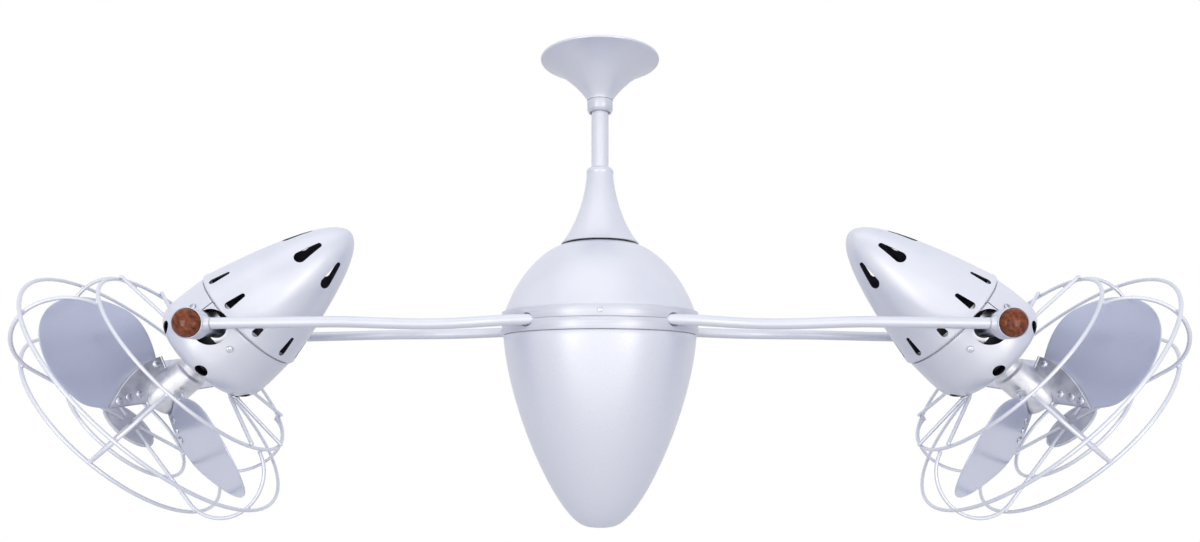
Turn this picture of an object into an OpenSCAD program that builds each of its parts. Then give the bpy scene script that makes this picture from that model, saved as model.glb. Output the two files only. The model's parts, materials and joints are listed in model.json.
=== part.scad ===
// Twin head ceiling fan: a fixed canopy and downrod carry a turning egg-shaped body. Four tube arms
// reach out from the body, two to each caged fan head. Millimetres, +Z up, arms along X.
// The origin is at the ceiling, in the middle of the ceiling bracket.

/* [Layout] */
// Distance from the downrod to each head's tilt axis
head_reach = 450; // [400:5:520]
// Distance from the ceiling down to the middle of the body's band
band_drop = 328; // [322:1:334]
// Drop of the tilt axes below the middle of the band
arm_drop = 8; // [2:1:12]
// Angle of each head below the horizontal
head_tilt = 41; // [-90:1:90]
// Running gap between parts that turn on each other
gap = 0.05; // [0.02:0.01:0.1]

/* [Canopy and downrod] */
// Outer diameter of the canopy at the ceiling
canopy_d = 146; // [130:1:170]
// Height of the canopy bell
canopy_h = 51; // [45:1:60]
// Wall of the canopy
canopy_wall = 1.2; // [0.8:0.1:2]
// Outer diameter of the canopy collar
collar_d = 31.6; // [30.5:0.1:34]
// Height of the canopy collar
collar_h = 15; // [12:1:20]
// Outer diameter of the downrod
rod_d = 21.3; // [18:0.1:22]
// Bore of the downrod
rod_bore_d = 16; // [10:0.5:17]
// Diameter of the hanging ball
ball_d = 34; // [33:0.5:36]
// Distance from the ceiling to the ball's centre
ball_drop = 20; // [19:0.5:22]
// Distance between the ceiling bracket's two slots
slot_spacing = 88.9; // [80:0.1:100]
// Width of each slot
slot_w = 5; // [4:0.5:6]
// Length of each slot
slot_l = 12; // [8:1:16]
// Length of the bracket strap
strap_l = 114; // [110:1:124]
// Width of the bracket strap
strap_w = 36; // [30:1:44]
// Thickness of the bracket strap
strap_t = 2.5; // [2:0.5:3]
// Diameter of the cross pins in the rod
pin_d = 6; // [4:0.5:8]

/* [Neck] */
// Distance from the ceiling to the top of the neck cover
neck_top = 135; // [130:1:140]
// Base diameter of the neck cover
neck_base_d = 94.6; // [88:0.2:98]
// Wall of the neck cover
neck_wall = 1.2; // [0.8:0.1:2]
// Gap between the neck cover and the dome
neck_gap = 1; // [0.5:0.1:2]
// Outer diameter of the main shaft
shaft_d = 20; // [18:0.5:20]
// Bore of the main shaft
shaft_bore_d = 14; // [8:0.5:15]
// Diameter of the coupling that joins the downrod to the shaft
coupling_d = 32; // [30:0.5:33]

/* [Body] */
// Diameter of the band round the body
band_d = 241.6; // [236:0.2:250]
// Height of each half of the band
band_half = 13.8; // [12:0.2:16]
// Wall of the band
band_wall = 3.6; // [3:0.1:5]
// Height of the dome above the band
dome_h = 85.7; // [80:0.1:95]
// Height of the lower shell below the band
shell_h = 236; // [200:1:260]
// Wall of the dome and the lower shell
shell_wall = 1.5; // [1:0.1:2.5]
// Outer diameter of each arm tube
arm_d = 12.7; // [11:0.1:14]
// Bore of each arm tube
arm_bore_d = 10; // [6:0.5:10.5]
// Diameter of the holes where the arms leave the band
arm_hole_d = 16; // [15:0.5:18]
// How far each arm bows in towards its neighbour on the way out
arm_bow = 16; // [0:1:24]
// How far each arm dips on the way out
arm_dip = 2.5; // [0:0.5:6]
// Sideways place of each arm where it leaves the hub
arm_hub_y = 84; // [80:1:88]
// Sideways place of each arm at the head
arm_head_y = 114.5; // [112:0.5:124]
// Outer diameter of the bearings
bearing_d = 42; // [36:1:46]
// Height of each bearing
bearing_h = 12; // [8:1:14]

/* [Fan head] */
// Greatest diameter of the front housing
housing_d = 144.8; // [140:0.2:150]
// Distance from the tilt axis to the housing's front face
housing_front = 57; // [54:0.5:60]
// Distance from the tilt axis back to the seam
seam_back = 22.5; // [21:0.5:28]
// How far the tail shell's lip stays inside the housing's widest part
lip_step = 1.1; // [0.8:0.1:3]
// Length of the tail shell
tail_l = 165; // [130:1:190]
// Wall of the head's shells
head_wall = 1.2; // [1:0.1:2]
// Diameter of the hole in the housing round each tilt post
post_hole_d = 42; // [34:1:42]
// Number of small vents in the tail shell
small_vents = 10; // [6:1:12]
// Number of large vents in the tail shell
large_vents = 6; // [3:1:8]
// Number of round vents in the front housing
front_vents = 6; // [3:1:6]
// Diameter of the motor
motor_d = 100; // [90:1:106]
// Length of the motor
motor_l = 62; // [50:1:66]
// Diameter of the motor shaft
motor_shaft_d = 8; // [6:0.5:10]
// Diameter of the tilt pins
tilt_pin_d = 16; // [12:0.5:18]
// Diameter of the knob studs
stud_d = 8; // [6:0.5:10]
// Diameter of the collar at each arm's end
arm_collar_d = 34.2; // [32:0.2:38]
// Length of the collar at each arm's end
arm_collar_l = 21; // [19:0.5:24]
// Diameter of the wooden knobs
knob_d = 31.2; // [28:0.2:31.6]
// Height of the knob's dome beyond the collar
knob_dome = 8; // [5:0.5:12]

/* [Cage] */
// Diameter of the cage wire
wire_d = 4.4; // [3:0.1:5]
// Diameter of the spokes that carry the cage
spoke_d = 4.6; // [3.5:0.1:5.5]
// Distance from the tilt axis to the middle of the rib bend
bend_z = 119.8; // [118:0.2:128]
// Distance from the head's axis to the middle of the rib bend
bend_r = 129; // [126:1:140]
// Radius of the rib bend
bend_radius = 53; // [52:0.5:56]
// Radius of the small front ring
inner_ring_r = 83.5; // [60:0.5:110]
// Number of ribs
ribs = 6; // [4:1:8]
// Angle of the first rib, from the near side
rib_phase = -20; // [-30:1:30]
// Radius of the dished boss at the front of the cage
boss_r = 36; // [28:1:50]
// Depth of the dished boss
boss_depth = 12; // [8:1:20]

/* [Rotor] */
// Radius of the blade tips
blade_tip_r = 166; // [140:1:168]
// Radius where the blades begin
blade_root_r = 24; // [23:0.5:30]
// Width of a blade at its root
blade_root_w = 43; // [30:1:60]
// Greatest width of a blade
blade_w = 130; // [80:1:134]
// Thickness of the blade sheet
blade_t = 1.4; // [1:0.1:2]
// Pitch of a blade at its root
pitch_root = 48; // [40:1:52]
// Pitch of a blade at its tip
pitch_tip = 37; // [25:1:38]
// Distance from the tilt axis to the middle of the blades
blade_z = 119.5; // [116:0.5:124]
// Angle of the first blade, from the near side
blade_phase = 44; // [0:1:120]
// Number of blades
blades = 3; // [3:1:3]
// Diameter of the rotor hub
hub_d = 44; // [40:1:45]
// Length of the rotor hub
hub_l = 59; // [50:1:62]
// Diameter of the hub's neck
hub_neck_d = 37; // [30:1:40]
// Thickness of the cast blade arms
wing_t = 3; // [2:0.1:4]
// Diameter of the rivet heads
rivet_head_d = 9.6; // [7:0.2:11]

/* [Hidden] */
$fn = 96;
eps = 0.01;
STEPS = 16;
SIDES = ["left", "right"];
ENDS = ["front", "rear"];
CENTRE_NODES = ["ceiling_bracket", "canopy", "canopy_collar", "hang_ball", "rod_pins", "downrod",
    "coupling", "neck_cover", "main_shaft", "shaft_nut", "slip_ring", "hub_bearings", "arm_hub",
    "upper_dome", "upper_band", "lower_band", "lower_shell", "band_screws"];
HEAD_NODES = ["tail_shell", "front_housing", "motor", "pivot_bracket", "head_screws", "cage_rear_ring",
    "cage_middle_ring", "cage_front_ring", "cage_inner_ring", "cage_ribs", "cage_spokes",
    "rotor_shaft", "rotor_hub", "blade_1", "blade_2", "blade_3", "rivets"];

// Colours
SATIN = [0.87, 0.88, 0.90];
BRUSHED = [0.90, 0.91, 0.93];
CAST = [0.62, 0.63, 0.68];
BLADE_GREY = [0.68, 0.70, 0.77];
DARK = [0.25, 0.25, 0.28];
STEEL = [0.75, 0.76, 0.78];
WOOD = [0.45, 0.20, 0.10];
NYLON = [0.16, 0.16, 0.17];

// Canopy, ball and rod
rod_r = rod_d / 2;
ball_r = ball_d / 2;
seat_gap = 0.3;
seat_r = ball_r + seat_gap;
seat_t = 2.2;
seat_open_r = rod_r + 1.4;
seat_low = sqrt(seat_r * seat_r - seat_open_r * seat_open_r);
nipple_r = collar_d / 2 - 2.4;
nipple_end = canopy_h + collar_h - 6;
rod_top = ball_drop - ball_r * 0.72;
// The coupling sits in the neck cover, under the rod's end
coupling_top = neck_top + 31;
rod_bottom = coupling_top + 20;
shaft_top = rod_bottom + 1;
coupling_l = 48;
coupling_bottom = coupling_top + coupling_l;

// Body
band_r = band_d / 2;
skirt_r = band_r - band_wall - 0.1;
band_top = band_drop - band_half;
band_bottom = band_drop + band_half;
dome_top = band_top - dome_h;
dome_hole_r = neck_base_d / 2 - 15;
dome_curve = concat([[dome_hole_r, -dome_top]],
    bez([dome_hole_r + 4, -dome_top - 0.2], [skirt_r * 0.65, -dome_top - 4],
        [skirt_r * 0.92, -dome_top - dome_h * 0.64], [skirt_r, -band_top]));
neck_base = -lookup(neck_base_d / 2, dome_curve) - neck_gap - neck_wall;
upper_pin = coupling_top + 10;
lower_pin = coupling_bottom - 11;
plate_t = 4;
plate_top = band_bottom - plate_t;
sleeve_top = dome_top + 22;
sleeve_bottom = band_bottom + 26;
sleeve_r = bearing_d / 2 + 5;
sleeve_bore_r = bearing_d / 2 - 4;
nut_h = 12;
slip_h = 32;
shaft_bottom = sleeve_bottom + nut_h + slip_h + 4;
band_screw_r = 1.5;
band_screw_l = band_wall + 1.6;

// Arms: tubes that fall and spread a little on the way out, with a gentle bow between the body and the head
pivot_drop = band_drop + arm_drop;
arm_start_x = 40;
arm_skew = atan((arm_head_y - arm_hub_y) / (head_reach - arm_start_x));
arm_plan = (head_reach - arm_start_x) / cos(arm_skew);
arm_droop = atan(arm_drop / arm_plan);
arm_l = arm_plan / cos(arm_droop);
// The bow and the dip swell up and die away between these two shares of the arm's length
bow_start = 0.09;
bow_end = 0.65;
ARM_STEPS = 18;
ARM_SIDES = 12;
function bow(s) = s < bow_start || s > bow_end ? 0 : pow(sin(180 * (s - bow_start) / (bow_end - bow_start)), 2);
// The near left arm's axis from its end inside the body (s = 0) to the tilt axis (s = 1)
function arm_point(s) = [-arm_start_x - (head_reach - arm_start_x) * s,
    -arm_hub_y - (arm_head_y - arm_hub_y) * s + arm_bow * bow(s),
    -band_drop - arm_drop * s - arm_dip * bow(s)];
function arm_axis(start, end) = [for (i = [0:ARM_STEPS]) arm_point(start + (end - start) * i / ARM_STEPS)];

// Tilt posts and knobs, along Y in the head's own frame
arm_collar_r = arm_collar_d / 2;
collar_in_y = arm_head_y - arm_collar_l / 2;
collar_out_y = arm_head_y + arm_collar_l / 2;
knob_recess = 6;
knob_seat_y = collar_out_y - knob_recess;
post_r = tilt_pin_d / 2 + 4;
post_end_y = collar_in_y - 0.4;
ring_band_l = 24;
ring_band_t = 5;

// Head shells: curves of [radius, place along the head's axis]
housing_r = housing_d / 2;
lip_d = housing_d - 2 * lip_step;
neck_hole_r = hub_neck_d / 2 + 4;
seam_r = lip_d / 2 - 1.1;
tuck_r = seam_r - 3.4;
post_hole_r = min(post_hole_d / 2, seam_back - 1.2);
housing_curve = concat([[neck_hole_r, housing_front]],
    bez([housing_r * 0.5, housing_front], [housing_r * 0.86, housing_front],
        [housing_r, housing_front - 11], [housing_r, housing_front - 29]),
    bez([housing_r, housing_front - 31], [housing_r, 8], [seam_r + 0.6, -8], [seam_r, -seam_back + 0.3]),
    [[tuck_r, -seam_back - 0.9], [tuck_r, -seam_back - 8]]);
tail_curve = bez([lip_d / 2, -seam_back], [lip_d / 2 - 15.5, -seam_back - 0.39 * tail_l],
    [lip_d * 0.21, -seam_back - 0.993 * tail_l], [0, -seam_back - tail_l]);

// Screws, vents and slit on the head: angles are counted from the near side
housing_screws = [27, 153, 207, 333];
housing_screw_z = 1.5;
slit_angle = 17.5;
slit_w = 0.8;
front_vent_d = 15.5;
vent_phase = 4;
screw_r = 2;
screw_hole_r = screw_r + 0.2;
screw_head_r = 4;
// The housing widens to the front, so the screws sit where the front edge of their heads clears it
housing_screw_seat = radius_at(housing_curve, housing_screw_z + screw_head_r) + 0.05;

// Motor
motor_back = -16;
motor_front = motor_back + motor_l;
motor_boss_r = 13;

// Cage
wire_r = wire_d / 2;
weld_gap = 0.1;
lay = bend_radius + wire_d;
rear_end_angle = -80.5;
rear_ring = [bend_r + lay * cos(rear_end_angle), bend_z + lay * sin(rear_end_angle)];
middle_ring = [bend_r + lay, bend_z];
front_ring = [bend_r + lay * cos(78.4), bend_z + lay * sin(78.4)];
rib_front_z = bend_z + bend_radius;
inner_ring = [inner_ring_r, rib_front_z + wire_d];
rib_inner_r = 12;
spoke_centres = [-84.5, 101, 204];
spoke_spread = 16;
spoke_root_spread = 7;
lug_place_r = 60;
lug_seat = 0.2;
lug_t = 2;
lug_tilt = 30;
// The lug's seat on the housing's front curve, and the start of each spoke above it
lug_place = [lug_place_r, lookup(lug_place_r, [for (p = housing_curve) if (p[1] > housing_front - 20) p])];
spoke_root = lug_place + (lug_seat + spoke_d / 2) * [sin(lug_tilt), cos(lug_tilt)];
spoke_end = [rear_ring[0], rear_ring[1] - wire_r - spoke_d / 2];

// Blades
blade_sweep = -4;
blade_slide = -7.5;
BLADE_ROWS = 14;
BLADE_COLS = 6;
hub_start = housing_front + 1.5;
hub_shoulder = hub_start + 15;
hub_r = hub_d / 2;
hub_end = hub_shoulder + hub_l;
wing_lift = blade_t / 2 + 0.1;
wing_root_r = hub_r - 1.5;
wing_corners = [[wing_root_r, -27], [wing_root_r, 17], [38, -38], [62, 49]];
WING_CELLS = 5;
rivet_spots = [[31, 17], [43, 27], [54, 38], [34, -26]];
rivet_r = 2;
rivet_seat = 0.3;

// A cubic curve through four control points
function bez(a, b, c, d) = [for (i = [0:STEPS]) let (u = i / STEPS, v = 1 - u)
    v * v * v * a + 3 * v * v * u * b + 3 * v * u * u * c + u * u * u * d];
// The same curve moved inwards by a wall
function inset(c, wall) = [for (i = [0:len(c) - 1])
    let (a = c[max(i - 1, 0)], b = c[min(i + 1, len(c) - 1)], t = (b - a) / norm(b - a),
        p = c[i] + wall * [t[1], -t[0]])
    [max(p[0], 0), p[1]]];
function reversed(c) = [for (i = [len(c) - 1:-1:0]) c[i]];
// Radius of a curve at a place along the axis
function radius_at(c, z) = lookup(z, [for (p = c) [p[1], p[0]]]);
// A point at a radius, an angle from the near side and a place along the axis
function around(r, angle, z) = [r * sin(angle), -r * cos(angle), z];
function unit(v) = v / norm(v);

// The middle surface of a blade, from its radius and its place across the blade
function blade_u(r) = (r - blade_root_r) / (blade_tip_r - blade_root_r);
function blade_mid(r, across) = let (u = blade_u(r), pitch = pitch_root + (pitch_tip - pitch_root) * u)
    around(r, blade_sweep * u - across * cos(pitch) / r * 180 / PI,
        blade_z + blade_slide * u + across * sin(pitch));
function blade_normal(r, across) = unit(cross(
    blade_mid(r + 0.5, across) - blade_mid(r - 0.5, across),
    blade_mid(r, across + 0.5) - blade_mid(r, across - 0.5)));
function blade_point(r, across, lift) = blade_mid(r, across) + lift * blade_normal(r, across);
// Width of a blade: it widens from the root and rounds off at the tip
function blade_width(u) = (blade_root_w + (blade_w - blade_root_w) * sin(90 * min(u / 0.55, 1)))
    * sqrt(1 - pow(max(u - 0.4, 0) / 0.6, 2.2));

// A thin turned shell under an outer curve
module turned_shell(curve, wall) {
    rotate_extrude() polygon(concat(curve, reversed(inset(curve, wall))));
}
module tube(outer_r, inner_r, low, high) {
    translate([0, 0, low]) difference() {
        cylinder(r = outer_r, h = high - low);
        translate([0, 0, -1]) cylinder(r = inner_r, h = high - low + 2);
    }
}
// A round wire or tube swept along a path of points; the path never runs along the vector called side
module swept(path, r, sides, side) {
    last = len(path) - 1;
    points = [for (i = [0:last])
        let (t = unit(path[min(i + 1, last)] - path[max(i - 1, 0)]), n = unit(cross(t, side)), b = cross(n, t))
        for (k = [0:sides - 1]) path[i] + r * (cos(360 * k / sides) * n + sin(360 * k / sides) * b)];
    skin = [for (i = [0:last - 1]) for (k = [0:sides - 1])
        let (a = i * sides + k, b = i * sides + (k + 1) % sides)
        each [[a, b, b + sides], [a, b + sides, a + sides]]];
    caps = [for (k = [1:sides - 2]) each [[0, k + 1, k], last * sides * [1, 1, 1] + [0, k, k + 1]]];
    polyhedron(points = points, faces = concat(skin, caps));
}
// A round bar from one point to another
module bar(from, to, r) {
    d = to - from;
    translate(from) rotate([0, acos(d[2] / norm(d)), atan2(d[1], d[0])]) cylinder(r = r, h = norm(d));
}
// A cross-slotted screw along Z: its head sits on the origin and its shank goes down
module screw(head_r, head_h, shank_r, shank_l) {
    slot = head_r * 0.2;
    color(STEEL) difference() {
        union() {
            translate([0, 0, -shank_l]) cylinder(r = shank_r, h = shank_l + eps);
            cylinder(r1 = head_r, r2 = head_r * 0.75, h = head_h);
        }
        for (a = [0, 90]) rotate([0, 0, a])
            translate([-head_r * 0.55, -slot / 2, head_h * 0.5]) cube([head_r * 1.1, slot, head_h]);
    }
}
// The left side as built, and its mirror image on the right
module on_side(side) {
    if (side == "left") children();
    else mirror([1, 0, 0]) children();
}
// The front as built, and its mirror image at the back
module on_end(end) {
    if (end == "front") children();
    else mirror([0, 1, 0]) children();
}
// The head's own frame: origin on the tilt axis, +Z along the air stream, Y across
module in_head() {
    translate([-head_reach, 0, -pivot_drop]) rotate([0, -(90 + head_tilt), 0]) children();
}
// Turns +X to an angle round the head's axis, counted from the near side
module at_angle(angle) {
    rotate([0, 0, angle - 90]) children();
}
// +Z along an arm's axis, from its end inside the body
module along_arm() {
    translate([-arm_start_x, -arm_hub_y, -band_drop]) rotate([0, 0, 180 + arm_skew])
        rotate([0, 90 + arm_droop, 0]) children();
}
module for_all_arms() {
    for (side = SIDES) for (end = ENDS) on_side(side) on_end(end) children();
}

// ---- Ceiling side ----
module slot_cut(h) {
    reach = (slot_l - slot_w) / 2;
    translate([-reach, -slot_w / 2, 0]) cube([2 * reach, slot_w, h]);
    for (s = [-1, 1]) translate([s * reach, 0, 0]) cylinder(d = slot_w, h = h);
}
module ceiling_bracket() {
    rim_angle = -8;
    low_angle = -asin(seat_low / seat_r);
    arc = [for (i = [0:8]) rim_angle + (low_angle - rim_angle) * i / 8];
    leg_bottom = ball_drop + seat_r * sin(-rim_angle) + 4;
    color(STEEL) difference() {
        union() {
            translate([-strap_l / 2, -strap_w / 2, -strap_t]) cube([strap_l, strap_w, strap_t]);
            translate([0, 0, -ball_drop]) rotate_extrude() polygon(concat(
                [for (a = arc) seat_r * [cos(a), sin(a)]],
                reversed([for (a = arc) (seat_r + seat_t) * [cos(a), sin(a)]])));
            tube(nipple_r, seat_open_r, -nipple_end, -ball_drop - seat_low);
            for (s = [-1, 1]) translate([s * (seat_r + seat_t / 2) - seat_t / 2, -8, -leg_bottom])
                cube([seat_t, 16, leg_bottom - strap_t / 2]);
        }
        for (s = [-1, 1]) translate([s * slot_spacing / 2, 0, -strap_t - 1]) slot_cut(strap_t + 2);
        translate([0, 0, -strap_t - 1]) cylinder(r = rod_r + 2, h = strap_t + 2);
        translate([0, 0, -ball_drop]) sphere(r = seat_r);
    }
}
module canopy() {
    rim_r = canopy_d / 2;
    foot_r = collar_d / 2;
    curve = concat([[rim_r, 0], [rim_r, -1.5]],
        bez([rim_r - 0.5, -2.5], [rim_r * 0.575, -canopy_h * 0.28],
            [foot_r + 0.2, -canopy_h * 0.91], [foot_r, -canopy_h]));
    color(SATIN) turned_shell(curve, canopy_wall);
}
module canopy_collar() {
    r = collar_d / 2;
    low = -canopy_h - collar_h;
    chamfer = 2.5;
    hole_r = rod_r + 1.1;
    color(BRUSHED) rotate_extrude() polygon([[nipple_r, -canopy_h], [r, -canopy_h], [r, low + chamfer],
        [r - chamfer * 0.7, low], [hole_r, low], [hole_r, -nipple_end - 0.3], [nipple_r, -nipple_end - 0.3]]);
}
module cross_pin(drop, turn, l) {
    translate([0, 0, -drop]) rotate([0, 0, turn]) rotate([0, 90, 0]) cylinder(d = pin_d, h = l, center = true);
}
module hang_ball() {
    color(NYLON) difference() {
        translate([0, 0, -ball_drop]) intersection() {
            sphere(r = ball_r);
            translate([0, 0, -ball_r * 0.06]) cube([2 * ball_d, 2 * ball_d, ball_r * 1.4], center = true);
        }
        translate([0, 0, -ball_drop - ball_d]) cylinder(r = rod_r, h = 2 * ball_d);
        cross_pin(ball_drop, 0, 2 * ball_d);
    }
}
module rod_pins() {
    color(STEEL) {
        cross_pin(ball_drop, 0, ball_d * 0.96);
        cross_pin(upper_pin, 90, coupling_d * 0.98);
        cross_pin(lower_pin, 90, coupling_d * 0.98);
    }
}
module downrod() {
    color(SATIN) difference() {
        tube(rod_r, rod_bore_d / 2, -rod_bottom, -rod_top);
        cross_pin(ball_drop, 0, 2 * rod_d);
        cross_pin(upper_pin, 90, 2 * rod_d);
    }
}
module coupling() {
    color(STEEL) difference() {
        translate([0, 0, -coupling_bottom]) cylinder(d = coupling_d, h = coupling_bottom - coupling_top);
        translate([0, 0, -rod_bottom]) cylinder(r = rod_r, h = coupling_d + rod_bottom - coupling_top);
        translate([0, 0, -coupling_bottom - 1]) cylinder(d = shaft_d, h = coupling_d + 20);
        cross_pin(upper_pin, 90, 2 * coupling_d);
        cross_pin(lower_pin, 90, 2 * coupling_d);
    }
}
module neck_cover() {
    shoulder = 4.4;
    top_r = rod_r + 0.4;
    side_r = top_r + shoulder;
    base_r = neck_base_d / 2;
    curve = concat([[rod_r, -neck_top]],
        [for (a = [90:-15:0]) [top_r + shoulder * cos(a), -neck_top - shoulder + shoulder * sin(a)]],
        bez([side_r, -neck_top - 6], [side_r + 1.5, -neck_top - 38], [base_r - 16, -neck_base + 18],
            [base_r, -neck_base]));
    color(SATIN) turned_shell(curve, neck_wall);
}
module main_shaft() {
    color(STEEL) difference() {
        tube(shaft_d / 2, shaft_bore_d / 2, -shaft_bottom, -shaft_top);
        cross_pin(lower_pin, 90, 2 * shaft_d);
    }
}
module shaft_nut() {
    washer = 2;
    color(STEEL) translate([0, 0, -sleeve_bottom - nut_h - 0.1]) difference() {
        union() {
            cylinder(d = shaft_d * 1.75, h = nut_h, $fn = 6);
            translate([0, 0, nut_h - washer]) cylinder(d = shaft_d * 1.4, h = washer);
        }
        translate([0, 0, -1]) cylinder(d = shaft_d, h = nut_h + 2);
    }
}
module slip_ring() {
    top = -sleeve_bottom - nut_h - 1;
    r = shaft_d / 2 + 9;
    groove = 1.5;
    color(NYLON) difference() {
        tube(r, shaft_d / 2, top - slip_h, top);
        for (i = [1:4]) tube(r + 1, r - groove, top - i * 6.5 - 2, top - i * 6.5);
    }
}

// ---- Turning body ----
module hub_bearings() {
    color(STEEL) for (top = [sleeve_top, sleeve_bottom - bearing_h])
        tube(bearing_d / 2, shaft_d / 2 + gap, -top - bearing_h, -top);
}
module arm_hub() {
    lightening_r = 12;
    lightening_place_r = (sleeve_r + skirt_r) / 2 - 14;
    block = [30, 22, arm_d + 4];
    color(CAST) difference() {
        union() {
            translate([0, 0, -plate_top - plate_t]) cylinder(r = skirt_r, h = plate_t);
            translate([0, 0, -sleeve_bottom]) cylinder(r = sleeve_r, h = sleeve_bottom - sleeve_top);
            for_all_arms() translate([-arm_start_x - 20, -arm_hub_y - 12, -plate_top - eps]) cube(block);
        }
        translate([0, 0, -sleeve_bottom - 1]) cylinder(r = sleeve_bore_r, h = sleeve_bottom - sleeve_top + 2);
        translate([0, 0, -sleeve_top - bearing_h]) cylinder(d = bearing_d, h = bearing_h + 1);
        translate([0, 0, -sleeve_bottom - 1]) cylinder(d = bearing_d, h = bearing_h + 1);
        for_all_arms() along_arm() cylinder(r = arm_d / 2, h = band_r);
        for (i = [0:5]) rotate([0, 0, 60 * i]) translate([lightening_place_r, 0, -plate_top - plate_t - 1])
            cylinder(r = lightening_r, h = plate_t + 2);
    }
}
// The holes that both the dome's skirt and the band have
module skirt_holes() {
    for_all_arms() along_arm() cylinder(d = arm_hole_d, h = band_r);
    band_screw_places() translate([0, 0, -band_screw_l - 1]) cylinder(r = band_screw_r, h = band_screw_l + 2);
}
module band_screw_places() {
    for (a = [0:90:270]) rotate([0, 0, a])
        translate([band_r, 0, -band_drop + (a % 180 == 0 ? -1 : 1) * band_half / 2]) rotate([0, 90, 0]) children();
}
module upper_dome() {
    color(SATIN) difference() {
        turned_shell(concat(dome_curve, [[skirt_r, -plate_top]]), shell_wall);
        skirt_holes();
    }
}
module half_band(low, high) {
    in_r = band_r - band_wall;
    chamfer = 0.6;
    color(BRUSHED) difference() {
        rotate_extrude() polygon([[in_r, low], [band_r - chamfer, low], [band_r, low + chamfer],
            [band_r, high - chamfer], [band_r - chamfer, high], [in_r, high]]);
        skirt_holes();
    }
}
module upper_band() {
    half_band(-band_drop, -band_top);
}
module lower_band() {
    half_band(-band_bottom, -band_drop);
}
module lower_shell() {
    r = band_r - 2.1;
    flange = 14;
    curve = concat([[r - flange, -band_bottom]],
        bez([r, -band_bottom], [r - 4.8, -band_bottom - 0.37 * shell_h],
            [r * 0.41, -band_bottom - shell_h], [0, -band_bottom - shell_h]));
    color(SATIN) turned_shell(curve, shell_wall);
}
module band_screws() {
    band_screw_places() screw(3.2, 1.4, band_screw_r, band_screw_l);
}
// The near arm on the left, with the collar at its end
module arm() {
    color(SATIN) difference() {
        union() {
            swept(arm_axis(0, 1 - arm_collar_r / 2 / arm_l), arm_d / 2, ARM_SIDES, [0, 0, 1]);
            translate([-head_reach, -collar_in_y, -pivot_drop]) rotate([90, 0, 0])
                cylinder(r = arm_collar_r, h = arm_collar_l);
        }
        swept(arm_axis(-1 / arm_l, 1 - arm_collar_r / arm_l), arm_bore_d / 2, ARM_SIDES, [0, 0, 1]);
        translate([-head_reach, 0, -pivot_drop]) rotate([90, 0, 0]) {
            translate([0, 0, collar_in_y - 1]) cylinder(r = tilt_pin_d / 2 + gap, h = arm_collar_l + 2);
            translate([0, 0, knob_seat_y]) cylinder(r = knob_d / 2 + 0.4, h = knob_recess + 1);
        }
    }
}
// The near knob on the left: a turned wooden grip on a threaded stud
module knob() {
    r = knob_d / 2;
    stud_l = 24;
    under = knob_seat_y + 0.1;
    stud_low = under - stud_l;
    rim = collar_out_y + 0.4;
    color(WOOD) translate([-head_reach, 0, -pivot_drop]) rotate([90, 0, 0]) rotate_extrude()
        polygon(concat([[0, stud_low], [stud_d / 2, stud_low], [stud_d / 2, under], [r, under]],
            bez([r, rim], [r * 0.9, rim + knob_dome * 0.75], [r * 0.5, rim + knob_dome], [0, rim + knob_dome])));
}

// ---- Fan head, in its own frame ----
// A flat drop with its round end on the origin and its narrow end along +X
module teardrop(big_r, small_r, l) {
    side = 90 - asin((big_r - small_r) / l);
    polygon(concat([for (i = [0:10]) let (a = side + (360 - 2 * side) * i / 10) big_r * [cos(a), sin(a)]],
        [for (i = [0:6]) let (a = -side + 2 * side * i / 6) [l, 0] + small_r * [cos(a), sin(a)]]));
}
// A row of drop-shaped vents round the tail, narrow ends to the back
module vent_row(count, z, big_r, small_r, l) {
    for (i = [0:count - 1]) at_angle(vent_phase + 360 * i / count)
        translate([10, 0, z]) rotate([0, 90, 0]) linear_extrude(lip_d) teardrop(big_r, small_r, l);
}
module tail_shell() {
    color(SATIN) difference() {
        turned_shell(tail_curve, head_wall);
        vent_row(small_vents, -seam_back - 10, 4.5, 2.6, 18.4);
        vent_row(large_vents, -seam_back - tail_l * 0.63, 6.8, 3, 25);
    }
}
module housing_screw_places() {
    for (a = housing_screws) at_angle(a)
        translate([housing_screw_seat, 0, housing_screw_z]) rotate([0, 90, 0]) children();
}
// The flat lug that carries each pair of spokes
module spoke_lug_places() {
    for (a = spoke_centres) at_angle(a)
        translate([lug_place[0], 0, lug_place[1]]) rotate([0, lug_tilt, 0]) children();
}
module front_housing() {
    color(SATIN) difference() {
        turned_shell(housing_curve, head_wall);
        rotate([90, 0, 0]) cylinder(r = post_hole_r, h = 2 * housing_d, center = true);
        for (i = [0:front_vents - 1]) at_angle(-25 + 360 * i / front_vents)
            translate([housing_r - 4, 0, housing_front - 13]) rotate([0, 58, 0])
                cylinder(d = front_vent_d, h = 20, center = true);
        for (a = [slit_angle, 180 - slit_angle]) at_angle(a)
            translate([tuck_r - 10, -slit_w / 2, -seam_back - 12]) cube([20, slit_w, seam_back + 12]);
        housing_screw_places() translate([0, 0, -5]) cylinder(r = screw_hole_r, h = 10);
        spoke_lug_places() translate([0, 0, -8]) cylinder(r = screw_hole_r, h = 10);
    }
}
module motor() {
    r = motor_d / 2;
    bell = 7;
    color(DARK) rotate_extrude() polygon([
        [motor_shaft_d / 2 + gap, motor_back - 3], [motor_boss_r, motor_back - 3], [motor_boss_r, motor_back],
        [r - bell, motor_back], [r, motor_back + bell], [r, motor_front - bell], [r - bell, motor_front],
        [motor_boss_r, motor_front], [motor_boss_r, motor_front + 5], [motor_shaft_d / 2 + gap, motor_front + 5]]);
}
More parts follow.
